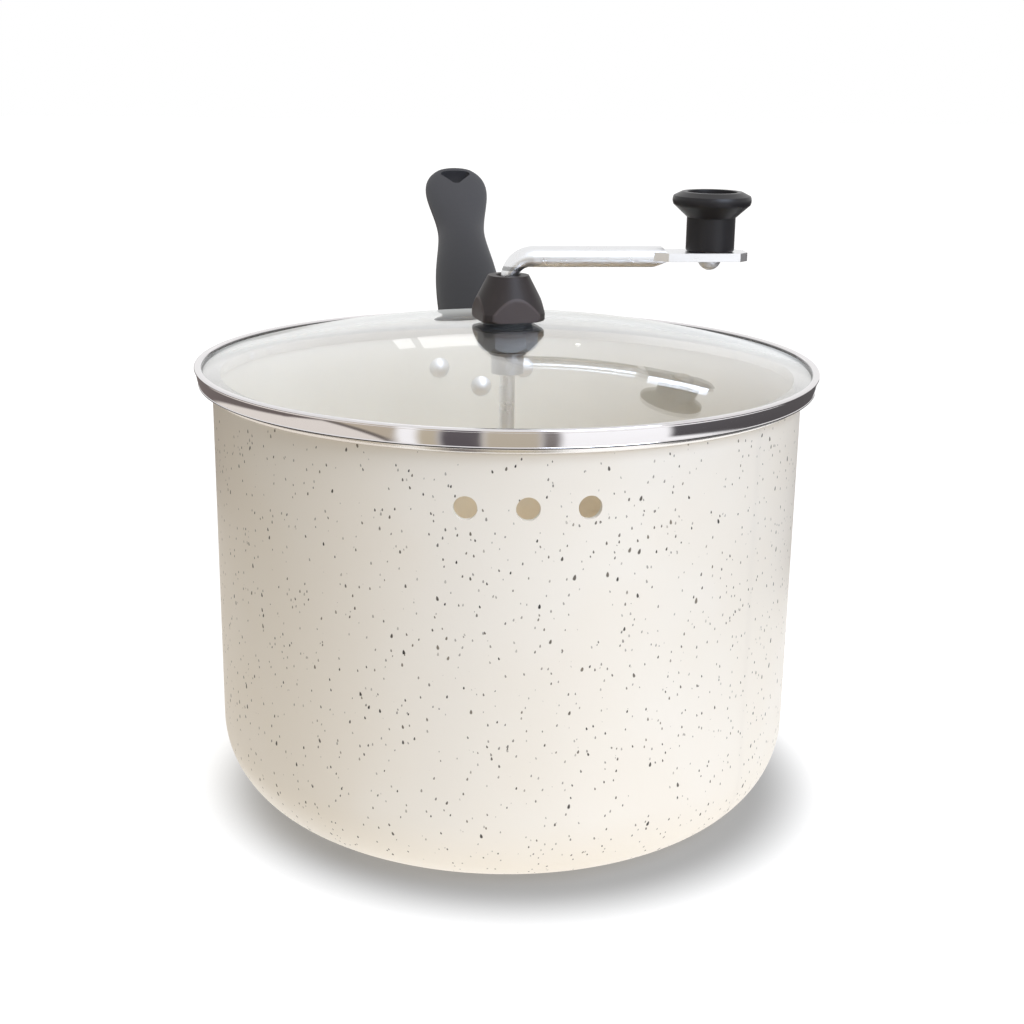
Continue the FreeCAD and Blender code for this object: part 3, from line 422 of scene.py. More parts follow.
def speckled_coating(f, scene):
    pot, size, tint = scene.popper_pot, scene.popper_speckle, scene.popper_colours
    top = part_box("pot_shell")[1].z / MM
    from_axis = f.from_axis()
    corner, wall = pot.corner / MM, pot.wall / MM
    straight = OUTSIDE / MM - corner
    past_floor = (from_axis - straight).at_least(0.0)
    below_wall = (corner - f.z).at_least(0.0)
    reach = (past_floor * past_floor + below_wall * below_wall).root()
    facing = past_floor / reach, below_wall / reach
    outside = reach > corner - wall / 2
    rim_low = top - pot.bare_rim / MM
    rim = f.z.smooth_step(rim_low - RIM_SOFT, rim_low + RIM_SOFT)
    base = (f.z < BARE_UP_TO) * (from_axis < straight - BARE_INSET)
    bare = rim.at_least(base)
    large, large_tone = specks(f, size, facing, size.spacing, seed=0.0, biggest=size.largest,
                               kept=size.kept)
    small, small_tone = specks(f, size, facing, size.spacing * 0.7, seed=31.0,
                               biggest=size.smallest * 1.3, kept=size.kept * 0.5)
    drops = large.at_least(small * (small_tone * 0.5 + 0.45)) * outside
    drop_tint = f.fade(large_tone ** 2, tint.speck, tint.pale_speck)
    cloud = f.noise(0.02)
    warm = scaled(tint.coating, 0.99, 0.98, 0.965)
    coat = f.fade(cloud.smooth_step(0.35, 0.65), tint.coating, warm)
    # Painted shade: the inside darkens and warms towards the pot's floor.
    inner_coat = f.fade(f.z.smooth_step(*DEEP_INSIDE), scaled(tint.inside, 0.94, 0.83, 0.68),
                        tint.inside)
    coat = f.fade(outside, inner_coat, coat)
    coat = f.fade(drops, coat, drop_tint)
    peel = f.noise(0.9)
    lines = f.turned_marks(3.2)
    metal_tint = f.fade(lines, scaled(tint.spun, 0.88), tint.spun)
    height = f.node("ShaderNodeMix", {"Factor": bare, 2: peel + drops * 0.25, 3: lines * 0.8},
                    data_type="FLOAT")[0]
    coat_rough = 0.34 + f.noise(0.08) * 0.1 + drops * 0.12
    rough = coat_rough * (1.0 - bare) + (0.16 + lines * 0.16) * bare
    return f.done(f.surface(
        Base_Color=f.fade(bare, coat, metal_tint), Metallic=bare, Roughness=rough,
        Normal=f.bump(height, 0.03, 0.6)))


def cast_aluminium(f, scene):
    tint = scene.popper_colours.cast
    skin = f.noise(1.6, detail=4.0, roughness=0.6)
    patches = f.noise(0.12)
    shade = f.fade(patches, scaled(tint, 0.86), tint)
    return f.done(f.surface(
        Base_Color=shade, Metallic=1.0, Roughness=0.34 + skin * 0.2,
        Normal=f.bump(skin, 0.08, 0.6)))


def rubbed_metal(tint, marks, rough, lines=2.6):
    """Metal with turned or drawn marks and faint rub patches."""
    def make(f, scene):
        level = getattr(scene.popper_colours, tint)
        mark = f.turned_marks(lines)
        rub = f.noise(0.25, detail=3.0)
        shade = f.fade(mark * 0.6 + rub * 0.4, scaled(level, 0.84), level)
        return f.done(f.surface(
            Base_Color=shade, Metallic=1.0, Roughness=rough + rub * 0.1 + mark * 0.08,
            Normal=f.bump(mark, marks, 0.5)))
    return make


def drawn_aluminium(f, scene):
    """Bright bar: fine lines along the arm, soft satin, painted shade under the arm and tip."""
    tint = scene.popper_colours.bright
    grain = f.noise(1.0, f.vector("MULTIPLY", f.place, (0.06, 3.0, 3.0)), detail=3.0,
                    roughness=0.6)
    rub = f.noise(0.2, detail=3.0)
    shade = f.fade(grain * 0.5 + rub * 0.5, scaled(tint, 0.9), tint)
    # Painted shade: the arm's underside and the underside of its flattened tip are darkened.
    low = GRIP_LOW / MM - ARM_DROP
    under = (1.0 - f.z.smooth_step(low - 0.2, low + 0.3)) * (f.z > low - ARM_UNDERSIDE)
    tip_painted_shade = (f.z < low + TIP_RISE) * (f.x > GRIP_ALONG / MM - TIP_REACH)
    shade = f.fade(under.at_least(tip_painted_shade), shade, scaled(tint, 0.42))
    return f.done(f.surface(
        Base_Color=shade, Metallic=1.0, Roughness=0.2 + rub * 0.12 + grain * 0.06,
        Normal=f.bump(grain, 0.01, 0.4)))


def polished_steel(f, scene):
    """Lid band: mirror polish, faint circular lines, a little handling haze and painted shade."""
    tint = scene.popper_colours.chrome
    lines = f.turned_marks(4.0)
    haze = f.noise(0.06, detail=3.0, roughness=0.6).smooth_step(0.45, 0.8)
    shade = f.fade(lines, scaled(tint, 0.95), tint)
    lid = scene.popper_lid
    foot = (BAND_LOW - lid.hang) / MM
    # Painted shade: the band's foot is darkened where the gap under it lies in shade, and a dark
    # painted line runs along the lip's inner edge.
    foot_shade = (1.0 - f.z.smooth_step(*(foot + up for up in FOOT_SHADE))) * (
        f.from_axis() > (BAND_OUTSIDE - lid.foot_inset) / MM - 0.5)
    lip = (BAND_OUTSIDE - lid.lip) / MM
    lip_shade = (1.0 - f.from_axis().smooth_step(*(lip + out for out in LIP_EDGE_SHADE))) * (
        f.z > BAND_LOW / MM + 1.5)
    shade = f.fade(foot_shade.at_least(lip_shade * 0.85), shade, scaled(tint, 0.06))
    return f.done(f.surface(
        Base_Color=shade, Metallic=1.0, Roughness=0.05 + lines * 0.04 + haze * 0.07,
        Normal=f.bump(lines, 0.004, 0.25)))


def phenolic(tint, rough, grain_depth, mottle=0.1, lit_stretch=None, flats=False):
    """Moulded thermoset: faint mottling, a fine skin and slightly polished patches.

    The stretch along +Y that it is given is where painted light makes the surface lighter
    further along +Y, and flats paints a lighter tone on the lid knob's flats, also painted light.
    """
    def make(f, scene):
        level = getattr(scene.popper_colours, tint)
        grain = f.noise(2.4, detail=3.0, roughness=0.6)
        patch = f.noise(0.07, detail=3.0, roughness=0.55)
        shade = f.fade(patch.smooth_step(0.25, 0.75), scaled(level, 1 - mottle),
                       scaled(level, 1 + mottle))
        if lit_stretch:
            # Painted light: the surface gets lighter along +Y over the given stretch.
            painted_light = f.y.smooth_step(*lit_stretch) * (patch * 0.3 + 0.85)
            shade = f.fade(painted_light, shade, scaled(level, 2.6))
        # Painted light: the knob's flats get a lighter tone, as faces that catch more light.
        if flats:
            knob = scene.popper_knob
            facing = nearest_flat(f.x, f.y, knob.flat_turn - math.pi / 2, knob.flats)
            reach = f.x * facing.cosine() + f.y * facing.sine()
            edge = knob.flat_distance / MM
            shade = f.fade(reach.smooth_step(edge - 0.6, edge - 0.3), shade, scaled(level, 2.3))
        return f.done(f.surface(
            Base_Color=shade, Roughness=rough + patch * 0.12 + grain * 0.06,
            Specular_IOR_Level=0.25, Normal=f.bump(grain, grain_depth, 0.6)))
    return make


def gasket_rubber(f, scene):
    tint = scene.popper_colours.rubber
    skin = f.noise(1.2, detail=3.0)
    return f.done(f.surface(
        Base_Color=f.fade(skin, tint, scaled(tint, 1.4)),
        Roughness=0.62 + skin * 0.15, Normal=f.bump(skin, 0.03, 0.5)))


def tempered_glass(f, scene):
    """Clear glass that mirrors more at a glance; light passes it to what is inside."""
    tint = scene.popper_colours.glass
    haze = f.noise(0.03).smooth_step(0.5, 0.9)
    glass = f.surface(Base_Color=tint, Roughness=haze * 0.015, IOR=1.5, Transmission_Weight=1.0)
    mirror = f.node("ShaderNodeBsdfGlossy", {"Color": (0.97, 0.97, 0.96), "Roughness": 0.02})[0]
    veil = f.node("ShaderNodeBsdfDiffuse", {"Color": (0.93, 0.95, 0.94)})[0]
    glancing = f.node("ShaderNodeLayerWeight", {"Blend": 0.5})["Facing"]
    film = f.blend(glancing.smooth_step(*VEIL_GLANCE), mirror, veil)
    wide, narrow = (glancing.smooth_step(low, high) * part for low, high, part in FILM_GLANCES)
    glass = f.blend(wide + narrow, glass, film)
    clear = f.node("ShaderNodeBsdfTransparent", {"Color": tint})[0]
    shadow = f.node("ShaderNodeLightPath")["Is Shadow Ray"]
    return f.done(f.blend(shadow, glass, clear))


FINISH_MAKERS = {
    "rivet_aluminium": rubbed_metal("bright", marks=0.01, rough=0.42),
    "guard_steel": rubbed_metal("steel", marks=0.015, rough=0.24),
    "fastener_steel": rubbed_metal("steel", marks=0.02, rough=0.26),
    "stirrer_steel": rubbed_metal("steel", marks=0.02, rough=0.3, lines=1.4),
    "bush_brass": rubbed_metal("brass", marks=0.02, rough=0.24),
    "handle_bakelite": phenolic("handle", rough=0.38, grain_depth=0.05, mottle=0.12,
                                lit_stretch=HANDLE_LIT_STRETCH),
    "knob_phenolic": phenolic("knob", rough=0.36, grain_depth=0.04, flats=True),
    "grip_phenolic": phenolic("grip", rough=0.27, grain_depth=0.03),
    "fitting_polymer": phenolic("fitting", rough=0.4, grain_depth=0.04),
} | {maker.__name__: maker for maker in (speckled_coating, cast_aluminium, drawn_aluminium,
                                       polished_steel, gasket_rubber, tempered_glass)}


# --- Profiles and Geometry Nodes ---
SAME_SPOT = 1e-6  # points closer than this are one
VENT_SIDES = 96


def spread(first, last, steps):
    """Numbers in even steps, both ends included."""
    return [first + (last - first) * k / steps for k in range(steps + 1)]


def arc(centre, radius, start_deg, end_deg, steps):
    """Points on an arc of a profile, both ends included."""
    turns = [math.radians(degrees) for degrees in spread(start_deg, end_deg, steps)]
    return [(centre[0] + radius * math.cos(t), centre[1] + radius * math.sin(t)) for t in turns]


def chain(start, *stretches):
    """Points along straight stretches, each given as its steps and its end."""
    points = [start]
    for steps, end in stretches:
        points += [tuple(a + (b - a) * k / steps for a, b in zip(start, end))
                   for k in range(1, steps + 1)]
        start = end
    return points


def dome_height(crown, sphere, out):
    """Height of a dome's surface at a distance from its axis."""
    return crown - sphere + math.sqrt(sphere ** 2 - out ** 2)


def dome(crown, sphere, near, far, steps):
    """Points on a dome about the axis, from one distance to another."""
    return [(out, dome_height(crown, sphere, out)) for out in spread(near, far, steps)]


def tidy_profile(points):
    """The points without the ones that repeat their neighbour."""
    kept = [points[0]]
    for point in points[1:]:
        if math.dist(point, kept[-1]) > SAME_SPOT:
            kept.append(point)
    return kept


class Shape(Tree):
    """One Geometry Nodes group, with named inputs."""

    def __init__(self, name):
        super().__init__(bpy.data.node_groups.new(name, "GeometryNodeTree"))
        self.sockets = {}
        for label, way in (("Geometry", "INPUT"), ("Geometry", "OUTPUT")):
            self.node_tree.interface.new_socket(label, in_out=way,
                                                socket_type="NodeSocketGeometry")
        self.group = self.node("NodeGroupInput")

    def input(self, label, kind="Float"):
        socket = self.node_tree.interface.new_socket(label, in_out="INPUT",
                                                     socket_type="NodeSocket" + kind)
        self.sockets[label] = socket.identifier
        return self.group[label]

    def about_z(self, vector, turn):
        """The vector turned about Z."""
        return self.node("ShaderNodeVectorRotate", {"Vector": vector, "Angle": turn},
                         rotation_type="Z_AXIS")[0]

    def moved(self, geometry, position):
        """The geometry with its points at the position."""
        return self.node("GeometryNodeSetPosition", {"Geometry": geometry, "Position": position})[0]

    def finished(self, geometry, crease_deg=28.0):
        """Smooth faces, sharp creases, real geometry and the material."""
        material = self.input("Material", "Material")
        smooth = self.node("GeometryNodeSetShadeSmooth", {"Geometry": geometry}, domain="FACE")
        bend = self.node("GeometryNodeInputMeshEdgeAngle")["Unsigned Angle"]
        sharp = self.node("GeometryNodeSetShadeSmooth",
                          {"Geometry": smooth[0], "Selection": bend > math.radians(crease_deg),
                           "Shade Smooth": False}, domain="EDGE")
        real = self.node("GeometryNodeRealizeInstances", {0: sharp[0]})
        dressed = self.node("GeometryNodeSetMaterial", {0: real[0], "Material": material})
        self.node("NodeGroupOutput", {"Geometry": dressed[0]})
        return self


def turned_surface(shape):
    """The profile's points carried round Z."""
    steps = shape.input("Steps", "Int")
    profile = shape.group["Geometry"]
    points = shape.node("GeometryNodeAttributeDomainSize", {0: profile})["Point Count"]
    grid = shape.node("GeometryNodeMeshGrid",
                      {"Vertices X": steps + 1, "Vertices Y": points})["Mesh"]
    index = shape.node("GeometryNodeInputIndex")[0]
    position = shape.node("GeometryNodeInputPosition")[0]
    spot = shape.node("GeometryNodeSampleIndex",
                      {"Geometry": profile, "Value": position, "Index": index.left_over(points)},
                      data_type="FLOAT_VECTOR", domain="POINT")[0]
    turn = (index / points).whole() * FULL_TURN / steps
    placed = shape.moved(grid, shape.about_z(spot, turn))
    return shape.node("GeometryNodeMergeByDistance", {"Geometry": placed, "Distance": SAME_SPOT})[0]


def turned_shape():
    shape = Shape("turned_piece")
    return shape.finished(turned_surface(shape))


def vented_shape():
    """Turned pot with a row of round vents cut through its wall."""
    shape = Shape("vented_pot")
    body = turned_surface(shape)
    vents, radius = shape.input("Vents", "Int"), shape.input("Vent Radius")
    height, out = shape.input("Vent Height"), shape.input("Vent Distance")
    pitch, offset = shape.input("Vent Pitch"), shape.input("Vent Offset")
    depth = shape.input("Cut Depth")
    drill = shape.node("GeometryNodeMeshCylinder",
                       {"Vertices": VENT_SIDES, "Radius": radius, "Depth": depth})["Mesh"]
    row = shape.node("GeometryNodeMeshLine", {"Count": vents})["Mesh"]
    index = shape.node("GeometryNodeInputIndex")[0]
    turn = (index - (vents - 1) / 2) * pitch + offset
    row = shape.moved(row, shape.about_z(shape.join(0.0, -out, height), turn))
    aim = shape.node("FunctionNodeEulerToRotation", {0: shape.join(math.pi / 2, 0.0, turn)})[0]
    drills = shape.node("GeometryNodeInstanceOnPoints",
                        {"Points": row, "Instance": drill, "Rotation": aim})[0]
    drills = shape.node("GeometryNodeRealizeInstances", {0: drills})[0]
    cut = shape.node("GeometryNodeMeshBoolean", {"Mesh 1": body, "Mesh 2": drills},
                     operation="DIFFERENCE", solver="EXACT")["Mesh"]
    return shape.finished(cut)


def flatted_shape():
    """Turned knob whose sides are pressed back to flats with soft edges."""
    shape = Shape("flatted_knob")
    body = turned_surface(shape)
    flats, distance = shape.input("Flats", "Int"), shape.input("Flat Distance")
    turn, soft = shape.input("Flat Turn"), shape.input("Softness")
    position = shape.node("GeometryNodeInputPosition")[0]
    x, y, z = shape.parts(position)
    facing = nearest_flat(x, y, turn, flats)
    way = shape.join(facing.cosine(), facing.sine(), 0.0)
    beyond = shape.vector("DOT_PRODUCT", position, way) - distance
    pressed = (beyond + (beyond * beyond + soft * soft).root()) / 2
    inwards = shape.vector("SUBTRACT", position, shape.vector("SCALE", way, pressed))
    return shape.finished(shape.moved(body, inwards), crease_deg=40.0)


def scene_object(name, data):
    """A new object with the data, in the scene."""
    made = bpy.data.objects.new(name, data)
    bpy.context.scene.collection.objects.link(made)
    return made


def shaped_mesh(name, profile, shape, material, values):
    """Plain mesh of a profile run through a Geometry Nodes group."""
    seed = bpy.data.meshes.new(name + "_profile")
    points = tidy_profile(profile)
    if points[0][0]:
        points.append(points[0])  # a ring closes, a cup ends on the axis
    seed.from_pydata([(r, 0, z) for r, z in points],
                     [(k, k + 1) for k in range(len(points) - 1)], [])
    holder = scene_object(name + "_profile", seed)
    modifier = holder.modifiers.new("shape", "NODES")
    modifier.node_group = shape.node_tree
    modifier[shape.sockets["Material"]] = material
    for label, number in values.items():
        modifier[shape.sockets[label]] = number
    evaluated = holder.evaluated_get(bpy.context.evaluated_depsgraph_get())
    mesh = bpy.data.meshes.new_from_object(evaluated)
    mesh.name = name
    bpy.data.objects.remove(holder)
    return mesh


def add_piece(mesh, body, stands_for):
    """A finished piece that rides on its body in place of a solid."""
    piece = scene_object(mesh.name, mesh)
    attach(piece, body)
    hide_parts(stands_for)


# --- Sizes shared with the solids ---
POT_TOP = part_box("pot_shell")[1].z
OUTSIDE = 112.0 * MM  # outside radius of the pot's straight wall
BAND_LOW = POT_TOP + 0.3 * MM  # seat of the band, just over the pot's rim
BAND_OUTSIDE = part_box("lid_rim_band")[1].x
GLASS_OUTSIDE, _, GLASS_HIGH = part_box("lid_glass")[1]
KNOB_LOW, KNOB_HIGH = (corner.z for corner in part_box("lid_knob"))
GRIP_LOW, GRIP_HIGH = (corner.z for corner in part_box("crank_grip"))
GRIP_ALONG = sum(corner.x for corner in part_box("crank_grip")) / 2


def glass_sphere(rise):
    """Radius of the sphere that the top of the glass dome is part of."""
    return (GLASS_OUTSIDE ** 2 + rise ** 2) / (2 * rise)


class PieceOperator:
    """What the popper's operators share."""

    bl_options = {"REGISTER", "UNDO"}
    dressed = {}  # finishes, each with the solids that keep their shape and get it

    def execute(self, context):
        self.build(context.scene)
        return {"FINISHED"}

    def build(self, scene):
        """Gives each dressed solid its finish."""
        for name, nodes in self.dressed.items():
            for node in nodes:
                for slot in frame["nodes"][node].material_slots:
                    slot.material = finish(name)


class POPPER_OT_pot_shell(PieceOperator, bpy.types.Operator):
    """Spin the speckled pot and cut its steam vents"""

    bl_idname = "popper.pot_shell"
    bl_label = "Pot"

    def build(self, scene):
        pot = scene.popper_pot
        corner = (OUTSIDE - pot.corner, pot.corner)
        inner_round = pot.corner - pot.wall
        inner = OUTSIDE - pot.wall
        inner_corner = (inner - inner_round, pot.floor + inner_round)
        bead = (OUTSIDE + pot.bead_offset, POT_TOP - pot.bead)
        mouth = (inner + pot.mouth_round, POT_TOP - pot.mouth_round)
        profile = (
            chain((0, 0), (8, (corner[0], 0)))
            + arc(corner, pot.corner, -90, 0, 36)
            + chain((OUTSIDE, corner[1]), (12, (OUTSIDE, bead[1] - pot.bead)))
            + arc(bead, pot.bead, -90, 90, 20)
            + arc(mouth, pot.mouth_round, 90, 180, 8)
            + chain((inner, mouth[1]), (12, (inner, inner_corner[1])))
            + arc(inner_corner, inner_round, 0, -90, 30)
            + chain((inner_corner[0], pot.floor), (8, (0, pot.floor)))
        )
        mesh = shaped_mesh("spun_pot", profile, vented_shape(), finish("speckled_coating"), {
            "Steps": pot.steps, "Vents": pot.vents, "Vent Radius": pot.vent_radius,
            "Vent Height": POT_TOP - pot.vent_drop, "Vent Distance": OUTSIDE - pot.wall / 2,
            "Vent Pitch": pot.vent_pitch, "Vent Offset": pot.vent_offset,
            "Cut Depth": 5 * pot.wall})
        add_piece(mesh, "pot", "pot_shell")


class POPPER_OT_long_handle(PieceOperator, bpy.types.Operator):
    """Finish the long handle, its bracket, rivets, flame guard and screw"""

    bl_idname = "popper.long_handle"
    bl_label = "Long Handle"
    dressed = {
        "cast_aluminium": ["handle_bracket"], "rivet_aluminium": ["bracket_rivets", "bracket_stud"],
        "guard_steel": ["flame_guard"], "fastener_steel": ["handle_screw"],
        "handle_bakelite": ["long_handle"]}


class POPPER_OT_lid_glass(PieceOperator, bpy.types.Operator):
    """Turn the domed glass of the lid"""

    bl_idname = "popper.lid_glass"
    bl_label = "Lid Glass"

    def build(self, scene):
        lid = scene.popper_lid
        sphere = glass_sphere(lid.rise)
        under, edge = sphere - lid.glass, GLASS_OUTSIDE
        profile = (
            dome(GLASS_HIGH - lid.glass, under, lid.bore, edge, 60)
            + dome(GLASS_HIGH, sphere, edge, lid.bore, 60)
        )
        mesh = shaped_mesh("glass_dome", profile, turned_shape(), finish("tempered_glass"),
                           {"Steps": scene.popper_pot.steps})
        add_piece(mesh, "lid", "lid_glass")


class POPPER_OT_lid_band(PieceOperator, bpy.types.Operator):
    """Turn the polished band round the glass"""

    bl_idname = "popper.lid_band"
    bl_label = "Lid Band"

    def build(self, scene):
        lid = scene.popper_lid
        sphere = glass_sphere(lid.rise)
        lip = BAND_OUTSIDE - lid.lip
        glass_at_lip = dome_height(GLASS_HIGH, sphere, lip)
        glass_edge = dome_height(GLASS_HIGH, sphere, GLASS_OUTSIDE)
        top = glass_at_lip + lid.lip_height
        foot = BAND_LOW - lid.hang
        low = (BAND_OUTSIDE - lid.foot_inset - lid.low_roll, foot + lid.low_roll)
        crown = (BAND_OUTSIDE - lid.crown_roll, top - lid.crown_roll)
        lip_edge = (lip + lid.lip_roll, top - lid.lip_roll)
        low_turn = 50
        crown_turn = math.degrees(math.acos((lid.crown_roll - lid.wall_sink) / lid.crown_roll))
        low_arc = arc(low, lid.low_roll, -180, low_turn, 20)
        crown_arc = arc(crown, lid.crown_roll, -crown_turn, 90, 16)
        straight = chain(low_arc[-1], (16, crown_arc[0]))
        wall = [(out + lid.wall_bow * 4 * part * (1 - part), up)
                for part, (out, up) in zip(spread(0, 1, 16), straight)]
        inner = lid.skirt_radius - lid.sheet
        seat = BAND_LOW + lid.sheet
        profile = (
            [(inner, BAND_LOW - lid.skirt), (lid.skirt_radius, BAND_LOW - lid.skirt),
             (lid.skirt_radius, BAND_LOW), (low[0] - lid.low_roll, BAND_LOW)]
            + low_arc + wall + crown_arc
            + arc(lip_edge, lid.lip_roll, 90, 180, 10)
            + [(lip, glass_at_lip), (GLASS_OUTSIDE, glass_edge), (GLASS_OUTSIDE, seat),
               (inner, seat)]
        )
        mesh = shaped_mesh("rim_channel", profile, turned_shape(), finish("polished_steel"),
                           {"Steps": scene.popper_pot.steps})
        add_piece(mesh, "lid", "lid_rim_band")


class POPPER_OT_lid_knob(PieceOperator, bpy.types.Operator):
    """Turn the lid knob and press its flats"""

    bl_idname = "popper.lid_knob"
    bl_label = "Lid Knob"

    def build(self, scene):
        knob = scene.popper_knob
        dish_low = KNOB_HIGH - knob.dish_depth
        socket_top = KNOB_LOW + knob.socket_depth
        profile = chain(
            (knob.socket, KNOB_LOW), (10, (knob.base - knob.bevel, KNOB_LOW)),
            (4, (knob.base, KNOB_LOW + knob.bevel)), (12, (knob.base, KNOB_LOW + knob.skirt)),
            (70, (knob.top, KNOB_HIGH)), (6, (knob.dish, KNOB_HIGH)), (8, (knob.bore, dish_low)),
            (1, (knob.bore, socket_top)), (1, (knob.socket, socket_top)))
        mesh = shaped_mesh("knob_body", profile, flatted_shape(), finish("knob_phenolic"), {
            "Steps": scene.popper_pot.steps, "Flats": knob.flats,
            "Flat Distance": knob.flat_distance, "Flat Turn": knob.flat_turn - math.pi / 2,
            "Softness": knob.soft})
        add_piece(mesh, "lid", "lid_knob")


class POPPER_OT_lid_fittings(PieceOperator, bpy.types.Operator):
    """Finish the bush, gaskets, washer and nut that clamp the lid knob"""

    bl_idname = "popper.lid_fittings"
    bl_label = "Lid Fittings"
    dressed = {"bush_brass": ["knob_bush"], "gasket_rubber": ["knob_gasket", "lower_gasket"],
               "fitting_polymer": ["lid_washer", "lid_nut"]}


class POPPER_OT_crank(PieceOperator, bpy.types.Operator):
    """Finish the crank bar and what is fixed to it"""

    bl_idname = "popper.crank"
    bl_label = "Crank"
    dressed = {
        "drawn_aluminium": ["crank_rod"], "rivet_aluminium": ["grip_rivet"],
        "fastener_steel": ["thrust_washer", "stop_collar", "collar_screw", "grip_washer"]}


class POPPER_OT_stirrer(PieceOperator, bpy.types.Operator):
    """Finish the stirrer's hub, blades and pin"""

    bl_idname = "popper.stirrer"
    bl_label = "Stirrer"
    dressed = {"stirrer_steel": ["stirrer_hub", "stirrer_blade_front", "stirrer_blade_back"],
               "fastener_steel": ["hub_pin"]}


class POPPER_OT_crank_grip(PieceOperator, bpy.types.Operator):
    """Turn the spool-shaped grip"""

    bl_idname = "popper.crank_grip"
    bl_label = "Crank Grip"

    def build(self, scene):
        grip = scene.popper_grip
        cone_low = GRIP_LOW + grip.neck_height
        rim_low = cone_low + grip.cone_height
        rim_high = rim_low + grip.rim_height
        edge = grip.flange - grip.round / 2
        foot = (grip.neck - grip.round, GRIP_LOW + grip.round)
        sagitta = grip.round / 2
        bulge_radius = (grip.rim_height ** 2 / 4 + sagitta ** 2) / (2 * sagitta)
        half = math.degrees(math.asin(grip.rim_height / 2 / bulge_radius))
        middle = (grip.flange - bulge_radius, (rim_low + rim_high) / 2)
        dish_low = GRIP_HIGH - grip.dish_depth
        soften = 0.25 * MM
        profile = (
            chain((grip.bore, GRIP_LOW), (4, (foot[0], GRIP_LOW)))
            + arc(foot, grip.round, -90, 0, 8)
            + chain((grip.neck, foot[1]), (8, (grip.neck, cone_low)), (8, (edge, rim_low)))
            + arc(middle, bulge_radius, -half, half, 12)
            + chain((edge, rim_high), (6, (grip.flange - grip.bevel + soften,
                                           GRIP_HIGH - soften / 2)))
            + chain((grip.flange - grip.bevel, GRIP_HIGH), (4, (grip.dish + soften, GRIP_HIGH)))
            + arc((grip.dish + soften, GRIP_HIGH - soften), soften, 90, 180, 5)
            + chain((grip.dish, GRIP_HIGH - soften), (6, (grip.dish, dish_low)),
                    (4, (grip.bore, dish_low)))
        )
        mesh = shaped_mesh("spool_grip", profile, turned_shape(), finish("grip_phenolic"),
                           {"Steps": grip.steps})
        mesh.transform(Matrix.Translation((GRIP_ALONG, 0, 0)))
        add_piece(mesh, "grip", "crank_grip")


# --- Studio ---
CAMERA_AT = Vector((-65.6, -603.4, 287.9)) * MM
CAMERA_AIM = Vector((2.59, -0.29, 111.26)) * MM
CAMERA_ROLL = math.radians(0.82)
CAMERA_LENS, SENSOR = 56.19, 36.0  # millimetres
LAMP_AIM = Vector((0, 0, 0.1))
# Azimuth and elevation in degrees, distance and size in metres, watts, tint and whether metal
# and glass mirror the lamp.
LAMPS = {
    "key_light": (30, 34, 1.5, (0.9, 0.9), 17.4, (0.71, 0.815, 1.0), True),
    "top_light": (10, 80, 1.4, (1.0, 0.7), 6, (1, 1, 1), False),
}
# Windows that the glass dome mirrors: two corners in millimetres and how bright each is.
WINDOWS = {
    "long_window": ((-10, 1860, 714), (137, 1860, 900), 1.45),
    "short_window": ((-69, 1870, 722), (-27, 1870, 880), 1.45),
    "far_lamp": ((366, 1825, 821), (377, 1825, 834), 4.5),
}
# What polished metal sees on the floor: degrees from the camera's side, millimetres from the
# axis to where it begins at both of those, and its shade.
MIRRORED = (
    (-170, -38, 120, 120, (216, 210, 203)),
    (-170, -76, 470, 490, (92, 82, 79)),
    (-78, -60, 490, 560, (92, 82, 79)),
    (-62, -36, 555, 235, (98, 90, 84)),
    (-60, -35, 640, 265, (174, 163, 145)),
    (-28, -21, 150, 150, (178, 168, 147)),
    (-21, -7, 150, 150, (75, 68, 71)),
    (-7, 11, 150, 150, (176, 167, 149)),
    (11, 17, 150, 150, (112, 105, 101)),
    (54, 152, 325, 325, (60, 56, 57)),
)
MIRRORED_GAIN = 1.3  # makes up for what the metal's tint takes off
MIRRORED_SOFT = 2.0  # degrees over which two sectors run into each other
MIRRORED_NEAR = (0.94, 1.06)  # parts of its distance between which a sector begins
MIRRORED_BASE = (0.01, 0.01, 0.01)  # the floor's own colour in a sector
# Floor as the camera sees it, with the pot's contact shadow painted in: under the pot, how much
# brighter it gets past the painted shadow, and between which distances in millimetres.
UNDER_POT, OUT_OF_SHADOW, SHADOW_END = 0.2, 0.74, (96.5, 133.5)
SHADOW_SHIFT = 5 * MM  # the painted shadow's middle from the pot's axis
# Light that the floor gives back: near the pot, how much less farther out, and where it drops.
BOUNCE, BOUNCE_DROP, BOUNCE_END = 1.0, 0.44, (180.0, 380.0)
BOUNCE_TINT = (1.5, 1.45, 1.35)
FLOOR_REACH, FLOOR_LOW = 6.0, -0.3 * MM
SKY_TINT, SKY_LIGHT = (1.0, 0.94, 0.83), 0.41  # what the air lights the object with


def flat_panel(name, corners, material):
    mesh = bpy.data.meshes.new(name)
    mesh.from_pydata(corners, [], [tuple(range(len(corners)))])
    mesh.materials.append(material)
    panel = scene_object(name, mesh)


def soft_box(name, azimuth_deg, elevation_deg, distance, size, watts, tint, mirrored):
    """Area lamp aimed at the pot; azimuth 0 is the camera's side, and 90 is to its right."""
    turn, rise = math.radians(azimuth_deg), math.radians(elevation_deg)
    spot = Vector((math.sin(turn) * math.cos(rise), -math.cos(turn) * math.cos(rise),
                   math.sin(rise))) * distance
    lamp = bpy.data.lights.new(name, "AREA")
    lamp.shape, lamp.size, lamp.size_y = "RECTANGLE", size[0], size[1]
    lamp.energy, lamp.color = watts, tint
    holder = scene_object(name, lamp)
    holder.location = spot + LAMP_AIM
    holder.rotation_euler = (-spot).to_track_quat("-Z", "Y").to_euler()
    holder.visible_glossy = mirrored


